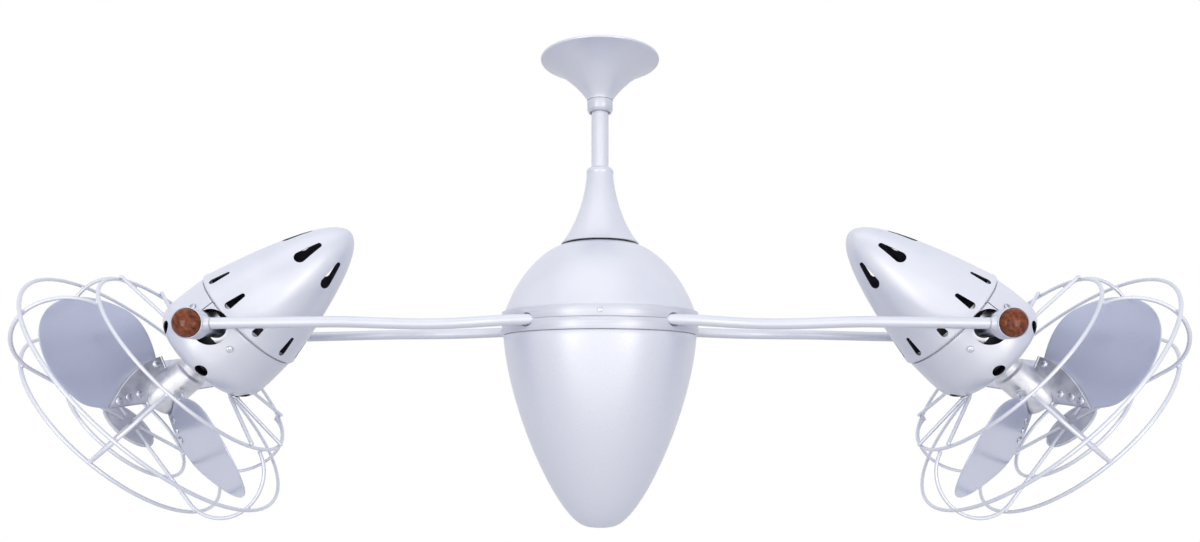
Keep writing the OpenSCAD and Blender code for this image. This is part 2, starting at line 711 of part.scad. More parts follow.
module pivot_bracket() {
    ring_out_r = motor_d / 2 + ring_band_t;
    boss_out_r = radius_at(housing_curve, housing_screw_z) - head_wall - 0.5;
    screw_bore_l = housing_screw_seat - motor_d / 2 + 1;
    color(STEEL) difference() {
        union() {
            tube(ring_out_r, motor_d / 2, -ring_band_l / 2, ring_band_l / 2);
            for (a = housing_screws) at_angle(a) translate([ring_out_r - 2, 0, housing_screw_z])
                rotate([0, 90, 0]) cylinder(r = 5, h = boss_out_r - ring_out_r + 2);
            for (s = [-90, 90]) rotate([s, 0, 0]) {
                translate([0, 0, ring_out_r - 2]) cylinder(r = post_r, h = post_end_y - ring_out_r + 2);
                cylinder(d = tilt_pin_d, h = knob_seat_y - 1);
            }
        }
        cylinder(d = motor_d, h = 2 * ring_band_l, center = true);
        housing_screw_places() translate([0, 0, -screw_bore_l]) cylinder(r = screw_hole_r, h = screw_bore_l);
        for (s = [-90, 90]) rotate([s, 0, 0])
            translate([0, 0, post_end_y - 16]) cylinder(r = stud_d / 2 + gap, h = post_end_y);
    }
}
module head_screws() {
    housing_screw_places() screw(screw_head_r, 2, screw_r, 12);
    spoke_lug_places() translate([0, 0, lug_seat + lug_t]) screw(screw_head_r, 2, screw_r, 7);
}

// ---- Cage ----
module wire_ring(place) {
    color(BRUSHED) rotate_extrude() translate(place) circle(r = wire_r, $fn = 32);
}
module cage_rear_ring() {
    wire_ring(rear_ring);
}
module cage_middle_ring() {
    wire_ring(middle_ring);
}
module cage_front_ring() {
    wire_ring(front_ring);
}
module cage_inner_ring() {
    wire_ring(inner_ring);
}
module cage_ribs() {
    sheet = 1.5;
    rim_z = rib_front_z + wire_r + weld_gap + sheet;
    bend_steps = 22;
    path = concat([for (i = [0:bend_steps]) let (a = rear_end_angle + (90 - rear_end_angle) * i / bend_steps)
        [bend_r + bend_radius * cos(a), 0, bend_z + bend_radius * sin(a)]], [[rib_inner_r, 0, rib_front_z]]);
    dish = bez([0, rim_z + boss_depth], [boss_r * 0.45, rim_z + boss_depth],
        [boss_r * 0.8, rim_z + boss_depth * 0.4], [boss_r, rim_z]);
    color(BRUSHED) {
        for (i = [0:ribs - 1]) at_angle(rib_phase + 360 * i / ribs) swept(path, wire_r, 10, [0, 1, 0]);
        rotate_extrude() polygon(concat(dish, [[boss_r, rim_z - sheet]],
            reversed([for (p = dish) [max(p[0] - 0.4, 0), p[1] - sheet]])));
    }
}
module cage_spokes() {
    lug_r = 7;
    color(BRUSHED) difference() {
        union() {
            for (a = spoke_centres) for (s = [-1, 1])
                bar(around(spoke_root[0], a + s * spoke_root_spread, spoke_root[1]),
                    around(spoke_end[0], a + s * spoke_spread, spoke_end[1]), spoke_d / 2);
            spoke_lug_places() translate([0, 0, lug_seat]) cylinder(r = lug_r, h = lug_t);
        }
        spoke_lug_places() cylinder(r = screw_hole_r, h = 20, center = true);
    }
}

// ---- Rotor ----
module rotor_shaft() {
    color(STEEL) translate([0, 0, motor_back - 8]) cylinder(d = motor_shaft_d, h = hub_end - 12 - motor_back + 8);
}
// A plate that follows the blades' surface between four corners, each [radius, across]
module blade_patch(corners, low, high, cells) {
    spots = [for (i = [0:cells]) for (j = [0:cells]) let (s = i / cells, t = j / cells)
        (1 - s) * ((1 - t) * corners[0] + t * corners[1]) + s * ((1 - t) * corners[2] + t * corners[3])];
    slab([for (lift = [low, high]) for (p = spots) blade_point(p[0], p[1], lift)], cells, cells);
}
// A closed slab from two layers of points, each a grid of rows and columns
module slab(points, rows, cols) {
    n = (rows + 1) * (cols + 1);
    w = cols + 1;
    cells = [for (i = [0:rows - 1]) for (j = [0:cols - 1]) i * w + j];
    bottom = [for (k = cells) each [[k, k + w, k + 1], [k + 1, k + w, k + w + 1]]];
    top = [for (f = bottom) [f[2] + n, f[1] + n, f[0] + n]];
    rim = concat([for (j = [0:cols - 1]) j], [for (i = [0:rows - 1]) i * w + cols],
        [for (j = [cols:-1:1]) rows * w + j], [for (i = [rows:-1:1]) i * w]);
    m = len(rim);
    sides = [for (i = [0:m - 1]) let (a = rim[i], b = rim[(i + 1) % m]) each [[a, b, b + n], [a, b + n, a + n]]];
    polyhedron(points = points, faces = concat(bottom, top, sides));
}
module rotor_hub() {
    bevel = 3;
    bore_end = hub_end - 12;
    color(CAST) difference() {
        union() {
            rotate_extrude() polygon([[0, hub_start], [hub_neck_d / 2, hub_start], [hub_neck_d / 2, hub_shoulder],
                [hub_r, hub_shoulder + bevel], [hub_r, hub_end - bevel], [hub_r - bevel, hub_end], [0, hub_end]]);
            for (i = [0:blades - 1]) rotate([0, 0, blade_phase + 120 * i])
                blade_patch(wing_corners, wing_lift, wing_lift + wing_t, WING_CELLS);
        }
        translate([0, 0, hub_start - 1]) cylinder(d = motor_shaft_d, h = bore_end + 1 - hub_start);
        rivet_holes();
    }
}
// The near blade, before it is turned to its place
module blade_sheet() {
    rows = [for (i = [0:BLADE_ROWS]) sin(90 * i / BLADE_ROWS) * 0.9995];
    points = [for (lift = [-0.5, 0.5]) for (u = rows) for (j = [0:BLADE_COLS])
        blade_point(blade_root_r + u * (blade_tip_r - blade_root_r),
            blade_width(u) * (j / BLADE_COLS - 0.5), lift * blade_t)];
    slab(points, BLADE_ROWS, BLADE_COLS);
}
module blade(number) {
    color(BLADE_GREY) difference() {
        rotate([0, 0, blade_phase + 120 * (number - 1)]) blade_sheet();
        rivet_holes();
    }
}
// A frame on the wing's face at each rivet, with +Z away from the blade
module rivet_places() {
    for (i = [0:2]) rotate([0, 0, blade_phase + 120 * i]) for (p = rivet_spots) {
        n = blade_normal(p[0], p[1]);
        translate(blade_point(p[0], p[1], wing_lift + wing_t + rivet_seat))
            rotate([0, acos(n[2]), atan2(n[1], n[0])]) children();
    }
}
module rivet_holes() {
    depth = wing_t + blade_t + 1.5;
    rivet_places() translate([0, 0, -depth]) cylinder(r = rivet_r, h = depth + 1);
}
module rivets() {
    r = rivet_head_d / 2;
    dome = 2.4;
    grip = wing_t + blade_t + 2 * rivet_seat + 0.1;
    head = [for (a = [0:15:90]) [r * cos(a), dome * sin(a)]];
    back = [[r, -grip], [r, -grip - 1], [r * 0.6, -grip - 1.8], [0, -grip - 1.8]];
    color(STEEL) rivet_places() rotate_extrude($fn = 32)
        polygon(concat([[0, dome]], reversed([for (p = head) if (p[0] > 0.01) p]),
            [[rivet_r, 0], [rivet_r, -grip]], back));
}

// ---- Every piece, one at a time or all together ----
ceiling_bracket();
canopy();
canopy_collar();
hang_ball();
rod_pins();
downrod();
coupling();
neck_cover();
main_shaft();
shaft_nut();
slip_ring();
hub_bearings();
arm_hub();
upper_dome();
upper_band();
lower_band();
lower_shell();
band_screws();
for (side = SIDES) {
    on_side(side) in_head() tail_shell();
    on_side(side) in_head() front_housing();
    on_side(side) in_head() motor();
    on_side(side) in_head() pivot_bracket();
    on_side(side) in_head() head_screws();
    on_side(side) in_head() cage_rear_ring();
    on_side(side) in_head() cage_middle_ring();
    on_side(side) in_head() cage_front_ring();
    on_side(side) in_head() cage_inner_ring();
    on_side(side) in_head() cage_ribs();
    on_side(side) in_head() cage_spokes();
    on_side(side) in_head() rotor_shaft();
    on_side(side) in_head() rotor_hub();
    for (i = [1:blades])
        on_side(side) in_head() blade(i);
    on_side(side) in_head() rivets();
    for (end = ENDS) {
        on_side(side) on_end(end) arm();
        on_side(side) on_end(end) knob();
    }
}
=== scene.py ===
# %% [markdown]
# # A twin head ceiling fan
# The fan hangs from a fixed canopy and downrod. Its egg-shaped body turns round the rod and carries
# four tube arms, and each pair of arms holds a caged fan head that tilts between two wooden knobs.
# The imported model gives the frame: metres, +Z up, the ceiling at Z = 0 and the arms along X.

# %% Load the frame
import json
import math

import bmesh
import bpy
from mathutils import Matrix, Vector


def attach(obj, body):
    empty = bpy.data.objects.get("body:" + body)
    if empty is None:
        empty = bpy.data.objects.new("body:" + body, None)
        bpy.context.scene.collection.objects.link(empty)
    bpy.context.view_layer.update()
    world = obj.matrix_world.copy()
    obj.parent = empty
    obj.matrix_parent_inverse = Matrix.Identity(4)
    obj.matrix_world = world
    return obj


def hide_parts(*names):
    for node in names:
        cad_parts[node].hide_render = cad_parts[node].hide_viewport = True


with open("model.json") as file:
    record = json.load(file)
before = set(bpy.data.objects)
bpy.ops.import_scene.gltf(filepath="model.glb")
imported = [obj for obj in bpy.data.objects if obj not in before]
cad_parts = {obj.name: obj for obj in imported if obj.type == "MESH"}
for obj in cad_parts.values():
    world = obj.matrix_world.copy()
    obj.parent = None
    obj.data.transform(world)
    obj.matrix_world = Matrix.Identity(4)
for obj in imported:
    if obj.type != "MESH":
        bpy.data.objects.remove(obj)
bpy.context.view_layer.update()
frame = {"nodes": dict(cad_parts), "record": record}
scene = bpy.context.scene
scene.view_settings.view_transform = "Standard"
MM = 0.001

# %% [markdown]
# ## Camera
# The photograph was taken level with the middle of the fan, from about a metre away. The camera could
# tilt to frame the fan, but then the rod would lean. A level camera keeps it upright, and the lens
# shift slides the picture up and down instead.

# %% Camera
cam_data = bpy.data.cameras.new("camera")
cam_data.sensor_width = 36
cam_data.lens = 24.909
cam_data.shift_y = 0.1033
camera = bpy.data.objects.new("camera", cam_data)
camera.location = (0, -1.0275, -0.4146)
camera.rotation_euler = (math.radians(90), 0, 0)
scene.collection.objects.link(camera)
scene.camera = camera
print("camera at", tuple(camera.location), "lens", cam_data.lens)

# %% [markdown]
# ## Colours and nodes
# Colours are picked as sRGB hex values, but a shader works in linear light, so one function turns
# the first into the second. Another adds a node, sets its values and joins its inputs.


# %% Colour and node helpers
def colour(code):
    """A linear colour from an sRGB hex value such as 'E2E4E9'"""
    parts = [int(code[i:i + 2], 16) / 255 for i in (0, 2, 4)]
    return [c / 12.92 if c <= 0.04045 else ((c + 0.055) / 1.055) ** 2.4 for c in parts] + [1]


def add_node(tree, kind, values=(), links=(), **settings):
    """Adds a node: settings are its properties, values its sockets, links what feeds them"""
    node = tree.nodes.new(kind)
    for key, value in settings.items():
        setattr(node, key, value)
    for key, value in dict(values).items():
        node.inputs[key].default_value = value
    for key, source in dict(links).items():
        tree.links.new(source, node.inputs[key])
    return node


def new_material(name, **values):
    """A material, its tree, its shader, with values set on its sockets, and object coordinates"""
    made = bpy.data.materials.new(name)
    made.use_nodes = True
    shader = made.node_tree.nodes["Principled BSDF"]
    for key, value in values.items():
        shader.inputs[key.replace("_", " ")].default_value = value
    place = add_node(made.node_tree, "ShaderNodeTexCoord").outputs["Object"]
    return made, made.node_tree, shader, place


print("E2E4E9 in linear light:", [round(c, 3) for c in colour("E2E4E9")])

# %% [markdown]
# ## From a pattern to a surface
# A real finish isn't even. Colour and gloss could each have a pattern of their own, but wear and
# handling change both at once, so one pattern drives both: where it is high, the colour is lighter
# and the gloss a little duller. A second pattern, or the same one, is the height of a fine relief.


# %% Colour, gloss and relief
def dress(tree, shader, pattern, colours, span, gloss, relief, strength, depth_mm):
    """Lets a pattern run through two colours and two roughnesses, and bumps the surface by a relief"""
    tone = add_node(tree, "ShaderNodeValToRGB", links={"Fac": pattern})
    for stop, position, code in zip(tone.color_ramp.elements, span, colours):
        stop.position, stop.color = position, colour(code)
    tree.links.new(tone.outputs["Color"], shader.inputs["Base Color"])
    if gloss:
        vary = add_node(tree, "ShaderNodeMapRange", {"To Min": gloss[0], "To Max": gloss[1]},
                        {"Value": pattern})
        tree.links.new(vary.outputs["Result"], shader.inputs["Roughness"])
    bump = add_node(tree, "ShaderNodeBump", {"Strength": strength, "Distance": depth_mm * MM},
                    {"Height": relief})
    tree.links.new(bump.outputs["Normal"], shader.inputs["Normal"])


print("patterns drive colour, gloss and relief")

# %% [markdown]
# ## Satin silver powder coat
# The canopy, the body and the heads are spun steel under a satin silver-white powder coat. Powder
# melts into a skin with a faint orange peel about 3 mm across, and handling leaves cloudy patches in
# its gloss. An even colour would look like plastic, so a light metallic share gives the cool sheen,
# and two noises give the peel and the clouds. The thin cage wire is coated the same way, but its peel
# is drawn 14 mm across, because a finer one would break its narrow highlight into dots.


# %% Satin powder coat
def powder_coat(name, light, dark, metallic, roughness, peel_mm):
    """A cloudy satin coat with an orange peel of a given width"""
    cloud_mm = 60
    made, tree, shader, place = new_material(name, Metallic=metallic, Coat_Weight=0.12, Coat_Roughness=0.25)
    cloud = add_node(tree, "ShaderNodeTexNoise", {"Scale": 1 / (cloud_mm * MM), "Detail": 3},
                     {"Vector": place})
    peel = add_node(tree, "ShaderNodeTexNoise", {"Scale": 1 / (peel_mm * MM), "Detail": 2},
                    {"Vector": place})
    dress(tree, shader, cloud.outputs["Fac"], (dark, light), (0.3, 0.7),
          (roughness - 0.05, roughness + 0.05), peel.outputs["Fac"], 0.05, 0.2)
    return made


satin_paint = powder_coat("satin_silver_powder_coat", "EDEDF1", "E6E6EC", 0.25, 0.36, 3)
wire_paint = powder_coat("silver_coated_steel_wire", "EEEEF3", "E4E5EC", 0.35, 0.32, 14)
print("coats:", satin_paint.name, wire_paint.name)

# %% [markdown]
# ## Brushed and rolled metal
# The band and the lower shell show fine scratches from a rotating brush, and the blades' satin
# aluminium keeps faint lines from the rolling mill. The shader's anisotropy could stretch the
# highlight alone. Noise that is stretched along one direction is chosen, because the lines show too:
# its scale is low along them and high across them. They are drawn about 0.7 mm apart, coarser than
# the real ones, which are too fine for the picture.


# %% Brushed finish
def brushed(name, light, dark, metallic, roughness, stretch):
    """A metal with fine lines along the direction in which stretch is small"""
    line_mm = 0.7
    made, tree, shader, place = new_material(name, Metallic=metallic, Coat_Weight=0.1, Coat_Roughness=0.2)
    lie = add_node(tree, "ShaderNodeMapping", {"Scale": stretch}, {"Vector": place})
    lines = add_node(tree, "ShaderNodeTexNoise", {"Scale": 1 / (line_mm * MM), "Detail": 3, "Roughness": 0.6},
                     {"Vector": lie.outputs["Vector"]})
    dress(tree, shader, lines.outputs["Fac"], (dark, light), (0.25, 0.75),
          (roughness - 0.06, roughness + 0.08), lines.outputs["Fac"], 0.08, 0.1)
    return made


ROUND_BAND, DOWN_SHELL, OUT_BLADE = (0.02, 0.02, 1), (1, 1, 0.012), (0.05, 1, 1)
band_metal = brushed("brushed_silver_band", "E6E6EB", "D3D4DC", 0.3, 0.36, ROUND_BAND)
shell_metal = brushed("brushed_silver_shell", "F0F0F5", "E6E6EC", 0.25, 0.36, DOWN_SHELL)
blade_metal = brushed("satin_aluminium_blade", "D6D9E8", "CBCEDF", 0.5, 0.3, OUT_BLADE)
print("brushed:", band_metal.name, shell_metal.name, blade_metal.name)

# %% [markdown]
# ## Cast, plated and dark finishes
# The hub is sand-cast aluminium, tumbled but not polished: its skin has a grain of about 1.5 mm, and
# its hollows hold a darker tone. Screws and rivets are zinc-plated steel, bright with a faint cloud.
# Grain and tone have very different sizes, so each gets a noise of its own. With less metal the same
# recipe gives the motors' enamel, the nylon parts, and a matt dark lining inside the heads. That
# lining is painted shade: it stands in for the dark that falls inside them, so their vents read as dark
# holes.


# %% Cast, plated and dark finishes
def rough_metal(name, light, dark, roughness, grain_mm, height_mm, metallic=1.0):
    """A cloudy finish with a grain of a given width and height"""
    patch_mm = 14
    made, tree, shader, place = new_material(name, Metallic=metallic)
    grain = add_node(tree, "ShaderNodeTexNoise", {"Scale": 1 / (grain_mm * MM), "Detail": 4},
                     {"Vector": place})
    patch = add_node(tree, "ShaderNodeTexNoise", {"Scale": 1 / (patch_mm * MM), "Detail": 2},
                     {"Vector": place})
    dress(tree, shader, patch.outputs["Fac"], (dark, light), (0.3, 0.7),
          (roughness - 0.08, roughness + 0.1), grain.outputs["Fac"], 0.25, height_mm)
    return made


cast_metal = rough_metal("tumbled_cast_aluminium", "DADBE1", "BCBDC6", 0.34, 1.5, 0.25, 0.85)
zinc_steel = rough_metal("zinc_plated_steel", "D6D9E2", "B9BCC6", 0.28, 0.8, 0.05)
bearing_steel = rough_metal("ground_bearing_steel", "C8CAD0", "B4B6BC", 0.22, 0.5, 0.02)
motor_black = rough_metal("black_enamelled_iron", "35363C", "26272C", 0.5, 1.2, 0.1, 0.2)
nylon = rough_metal("moulded_black_nylon", "2E2E31", "232326", 0.5, 1.0, 0.05, 0.0)
# The dark lining is painted shade for the heads' insides and the walls of their vents and holes.
painted_shade_lining = rough_metal("dark_lining_painted_shade", "625F6C", "4E4B58", 0.8, 2.5, 0.05, 0.0)
print("metals:", cast_metal.name, zinc_steel.name, bearing_steel.name)

# %% [markdown]
# ## Turned hardwood
# The knobs are turned from a red-brown hardwood and lacquered. Grain could be drawn on the surface,
# but then it wouldn't look cut. Here growth rings about 6 mm apart wander through the block as solid
# layers that the dome cuts through, and a mottled figure of about 9 mm lies over them. A stretched
# noise raises the pores, and a clear coat gives the lacquer's hard gloss.

# %% Turned hardwood
RING_MM, FIGURE_MM, PORE_MM = 6, 9, 0.9
WAVE_STEP = 0.3  # a wave texture of scale 1 repeats about every 0.3 metres
wood, tree, shader, place = new_material(
    "lacquered_red_hardwood", Roughness=0.5, Specular_IOR_Level=0.1, Coat_Weight=0.5, Coat_Roughness=0.08)
turn = add_node(tree, "ShaderNodeMapping", {"Rotation": (0.3, 0.5, 0.2)}, {"Vector": place})
rings = add_node(tree, "ShaderNodeTexWave", {"Scale": WAVE_STEP / (RING_MM * MM), "Distortion": 9,
                                             "Detail": 4, "Detail Scale": 1.4},
                 {"Vector": turn.outputs["Vector"]})
figure = add_node(tree, "ShaderNodeTexNoise", {"Scale": 1 / (FIGURE_MM * MM), "Detail": 4,
                                              "Roughness": 0.6, "Distortion": 1.2},
                  {"Vector": turn.outputs["Vector"]})
both = add_node(tree, "ShaderNodeMath", {1: 0.22}, {0: rings.outputs["Fac"], 2: figure.outputs["Fac"]},
                operation="MULTIPLY_ADD")
stretch = add_node(tree, "ShaderNodeMapping", {"Scale": (0.12, 1, 1)}, {"Vector": turn.outputs["Vector"]})
pores = add_node(tree, "ShaderNodeTexNoise", {"Scale": 1 / (PORE_MM * MM), "Detail": 3},
                 {"Vector": stretch.outputs["Vector"]})
dress(tree, shader, both.outputs["Value"], ("381504", "9C440F"), (0.36, 0.86), None,
      pores.outputs["Fac"], 0.15, 0.1)
print("wood:", wood.name)

# %% [markdown]
# ## Carried-over solids
# Every CAD solid gets the finish of its record slot first. Those that show are then replaced, one
# after another, by modelled pieces. The inner works could be modelled again too, but they hardly
# show, so they keep their solids with this finish.

# %% Finishes on the CAD solids
FINISH = {"satin_paint": satin_paint, "brushed_paint": band_metal, "cage_wire": wire_paint,
          "blade_grey": blade_metal, "cast_metal": cast_metal, "zinc_steel": zinc_steel,
          "bearing_steel": bearing_steel, "motor_black": motor_black, "nylon": nylon, "turned_wood": wood}
slot_of = {part["node"]: part["material_slot"] for part in frame["record"]["subparts"]}
for name, solid in frame["nodes"].items():
    solid.data.materials.clear()
    solid.data.materials.append(FINISH[slot_of[name]])
print(len(slot_of), "solids carry a finish")

# %% [markdown]
# ## Turned shapes
# Most of this fan was spun or turned, so most of the model is too. A cylinder could be pushed into
# shape ring by ring, but one outline holds a whole profile, as a metal spinner's former does. A plane
# is merged to one point, the point is extruded into the outline, and the Spin tool sweeps that round
# Z. Merging the doubles closes the seam and the poles, and the normals are recalculated.


# %% Selecting and placing
def only(piece):
    """Selects one object and nothing else"""
    bpy.ops.object.select_all(action="DESELECT")
    piece.select_set(True)
    bpy.context.view_layer.objects.active = piece


def settle(piece, move=None):
    """Moves a piece by a matrix, if there is one, and applies its place, turn and size to its mesh"""
    only(piece)
    if move is not None:
        piece.matrix_world = move @ piece.matrix_world
    bpy.ops.object.transform_apply(location=True, rotation=True, scale=True)


print("a piece is selected alone before anything acts on it")


# %% Outlines and turning
def outline(name, points):
    """A chain of edges through (radius, height) points in mm, left in edit mode"""
    bpy.ops.object.select_all(action="DESELECT")
    bpy.ops.mesh.primitive_plane_add(size=1 * MM)
    piece = bpy.context.object
    piece.name = piece.data.name = name
    bpy.ops.object.mode_set(mode="EDIT")
    bpy.ops.mesh.merge(type="CENTER")
    bpy.ops.transform.translate(value=(points[0][0] * MM, 0, points[0][1] * MM))
    for (r0, z0), (r1, z1) in zip(points, points[1:]):
        step = ((r1 - r0) * MM, 0, (z1 - z0) * MM)
        bpy.ops.mesh.extrude_region_move(TRANSFORM_OT_translate={"value": step})
    return piece


def tidy(merge=0.00001):
    """Merges doubles, points every face outwards and leaves edit mode"""
    bpy.ops.mesh.select_all(action="SELECT")
    bpy.ops.mesh.remove_doubles(threshold=merge)
    bpy.ops.mesh.normals_make_consistent(inside=False)
    bpy.ops.object.mode_set(mode="OBJECT")


def spin(steps):
    """Sweeps what is selected once round Z and leaves edit mode"""
    bpy.ops.mesh.spin(steps=steps, angle=math.tau, center=(0, 0, 0), axis=(0, 0, 1))
    tidy()


def turned(name, points, steps=96):
    """The outline swept once round Z"""
    piece = outline(name, points)
    bpy.ops.mesh.select_all(action="SELECT")
    spin(steps)
    return piece


def curve(a, b, c, d, steps=14):
    """Points of a smooth curve from a to d that leaves towards b and arrives from c"""
    ts = [i / steps for i in range(steps + 1)]
    return [tuple((1 - t) ** 3 * p + 3 * (1 - t) ** 2 * t * q + 3 * (1 - t) * t * t * r + t ** 3 * s
                  for p, q, r, s in zip(a, b, c, d)) for t in ts]


print("a test curve:", [round(x, 1) for x in curve((0, 0), (1, 0), (2, 1), (2, 2), 2)[1]])

# %% [markdown]
# ## Sheet and eased edges
# A pressed or spun part is modelled as one surface. Its inside could be a second outline, but
# Solidify keeps the sheet equally thick on every curve, and can give the inside another finish. Bevel
# rounds the edges that are sharper than 50 degrees, which on real sheet are never quite sharp. Both
# modifiers are applied at once, so that later steps work on the real mesh.


# %% Thickness and bevels
def apply_all(piece):
    """Applies every modifier, from the top down"""
    only(piece)
    for modifier in list(piece.modifiers):
        bpy.ops.object.modifier_apply(modifier=modifier.name)


def wall(piece, thick, offset=-1, lining=None):
    """Gives a surface its thickness in mm, inwards or (offset 0) both ways, and its inside a finish"""
    only(piece)
    bpy.ops.object.modifier_add(type="SOLIDIFY")
    solidify = piece.modifiers[-1]
    solidify.thickness = thick * MM
    solidify.offset = offset
    solidify.use_even_offset = True
    # On the heads the lining is painted shade: a dark inside in place of the shade that falls there.
    if lining:
        piece.data.materials.append(satin_paint)
        piece.data.materials.append(lining)
        solidify.material_offset = 1
    apply_all(piece)


def eased(piece, width, segments=2):
    """Rounds the sharp edges of a piece by a width in mm"""
    only(piece)
    bpy.ops.object.modifier_add(type="BEVEL")
    bevel = piece.modifiers[-1]
    bevel.width = width * MM
    bevel.segments = segments
    bevel.limit_method = "ANGLE"
    bevel.angle_limit = math.radians(50)
    apply_all(piece)


print("sheet and bevels are applied as they are made")

# %% [markdown]
# ## Handing a piece over
# A finished piece names its finish, the body it moves with and the CAD solids that it stands for.
# Shading could be smooth all over, but it would smear across real corners, so it stops at edges
# sharper than 35 degrees, as a press or lathe leaves them.


# %% Finishing a piece
def hand_over(piece, finish, body, nodes, angle=35):
    """Shades a piece, gives its outside a finish, ties it to its body and hides the solids it stands for"""
    settle(piece)
    bpy.ops.object.shade_smooth_by_angle(angle=math.radians(angle))
    if len(piece.data.materials) > 1:
        piece.data.materials[0] = finish
    else:
        piece.data.materials.clear()
        piece.data.materials.append(finish)
    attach(piece, body)
    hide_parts(*nodes)
    faces = sum(len(p.vertices) - 2 for p in piece.data.polygons)
    print(f"{piece.name}: {faces} triangles on {body}")


# %% [markdown]
# ## Copies and joins
# What repeats on the fan is modelled once and copied. Linked copies would share one mesh, but every
# place needs its own, so each copy has a mesh that is moved for good. A mirrored copy can turn inside
# out, and the sign of its volume tells whether its faces have to be flipped.


# %% Copying, joining and removing
def volume(piece):
    """Signed volume in cubic mm: it is negative when the faces point inwards"""
    shape = bmesh.new()
    shape.from_mesh(piece.data)
    found = shape.calc_volume(signed=True) / MM ** 3
    shape.free()
    return found


def copy_of(piece, name, move):
    """A copy with a mesh of its own, moved by a matrix, its faces turned out again if it mirrors"""
    only(piece)
    bpy.ops.object.duplicate(linked=False)
    twin = bpy.context.object
    twin.name = twin.data.name = name
    settle(twin, move)
    if volume(piece) * volume(twin) < 0:
        bpy.ops.object.mode_set(mode="EDIT")
        bpy.ops.mesh.select_all(action="SELECT")
        bpy.ops.mesh.flip_normals()
        bpy.ops.object.mode_set(mode="OBJECT")
    return twin


def joined(pieces, name):
    """Several objects made into one"""
    bpy.ops.object.select_all(action="DESELECT")
    for piece in pieces:
        piece.select_set(True)
    bpy.context.view_layer.objects.active = pieces[0]
    bpy.ops.object.join()
    pieces[0].name = pieces[0].data.name = name
    return pieces[0]


def remove(piece):
    """Deletes a helper object"""
    only(piece)
    bpy.ops.object.delete()


print("copies get a mesh of their own")

# %% [markdown]
# ## Canopy and downrod
# The canopy is a spun bell that hides the ceiling bracket, with a small turned collar at its foot and
# the rod through both. A subdivided cylinder could flare like the bell, but a spun outline takes the
# curve as it is, with the bell's rolled rim and the collar's rounded corners as points in it.

# %% Canopy, collar and rod
SHEET = 1.2
bell = [(72.3, 0), (73, -0.4), (73, -1.4)]
bell += curve((72.5, -2.5), (42, -14.3), (16, -46.4), (15.8, -51), 24)
canopy = turned("canopy_bell", bell)
wall(canopy, SHEET)
hand_over(canopy, satin_paint, "ceiling_mount", ["canopy"])
collar = turned("canopy_foot", [(13.6, -51.2), (15.2, -51.2), (15.8, -51.8), (15.8, -61.8), (15.4, -62.6),
                                (14.2, -65.6), (13.6, -66), (12.3, -66), (11.9, -65.4), (11.9, -60),
                                (13.3, -60), (13.6, -51.2)], 64)
hand_over(collar, band_metal, "ceiling_mount", ["canopy_collar"])
rod = turned("downrod_tube", [(8, -8), (10.65, -8), (10.65, -186), (8, -186), (8, -8)], 64)
hand_over(rod, satin_paint, "ceiling_mount", ["downrod"])

# %% [markdown]
# ## Neck cover and dome
# The neck cover is a trumpet that hides the coupling. It has a rolled shoulder round the rod and it
# ends just above the dome. The dome is one deep-drawn cap that tucks inside the band. They look like
# one shape and could be one, but the dome turns under the fixed cover, so each is spun alone.

# %% Neck cover and dome
SHOULDER_R, BODY_SHEET = 4.4, 1.5
shoulder = [(11.05 + SHOULDER_R * math.cos(math.radians(a)), -139.4 + SHOULDER_R * math.sin(math.radians(a)))
            for a in range(90, -1, -10)]
trumpet = [(10.8, -135)] + shoulder + [(15.5, -140.6), (15.1, -141.4)]
trumpet += curve((15.2, -142.4), (17, -173), (31, -211), (47.3, -228.8), 24)
neck = turned("neck_trumpet", trumpet)
wall(neck, SHEET)
hand_over(neck, satin_paint, "ceiling_mount", ["neck_cover"])
cap = [(32.3, -228.5)] + curve((36.3, -228.7), (76.1, -232.5), (107.6, -283.1), (117.1, -314.2), 26)
dome = turned("body_dome", cap + [(117.1, -336)], 128)
wall(dome, BODY_SHEET)

# %% [markdown]
# ## The arms' shape
# The arms leave the body through holes in the band, bow in towards each other, and open out again to
# reach the head. Their centre line is one formula. A curve object with a round bevel could follow it,
# but a circle that is extruded from point to point gives a clean closed mesh at once, and steps along
# the pipe as a tube bender does.


# %% Arm centre line
HEAD_REACH, PIVOT_Z = 450, -336
ARM_ROOT, ARM_RUN, ARM_BOW = (-40, -84, -328), (-410, -30.5, -8), (0, 16, -2.5)
BOW_FROM, BOW_TO, ARM_END, ARM_STEPS = 0.09, 0.65, 0.985, 28


def swell(s):
    """Rises and dies away between the body and the head"""
    if s < BOW_FROM or s > BOW_TO:
        return 0
    return math.sin(math.pi * (s - BOW_FROM) / (BOW_TO - BOW_FROM)) ** 2


def arm_point(s):
    """The near left arm's axis in mm, from inside the body (0) to the tilt axis (1)"""
    return Vector([root + run * s + bow * swell(s) for root, run, bow in zip(ARM_ROOT, ARM_RUN, ARM_BOW)])


def tube_along(name, points, radius, sides=20):
    """A round bar that follows points, in mm, and is closed at both ends"""
    lean = (points[1] - points[0]).to_track_quat("Z", "Y").to_euler()
    bpy.ops.object.select_all(action="DESELECT")
    bpy.ops.mesh.primitive_circle_add(vertices=sides, radius=radius * MM, fill_type="NGON",
                                      location=points[0] * MM, rotation=lean)
    piece = bpy.context.object
    piece.name = piece.data.name = name
    settle(piece)
    bpy.ops.object.mode_set(mode="EDIT")
    bpy.ops.mesh.select_all(action="SELECT")
    for a, b in zip(points, points[1:]):
        bpy.ops.mesh.extrude_region_move(TRANSFORM_OT_translate={"value": (b - a) * MM})
    tidy()
    return piece


arm_axis = [arm_point(i / ARM_STEPS * ARM_END) for i in range(ARM_STEPS + 1)]
print("the arm bows in to |Y|", round(min(abs(p.y) for p in arm_axis[12:16]), 1), "mm")

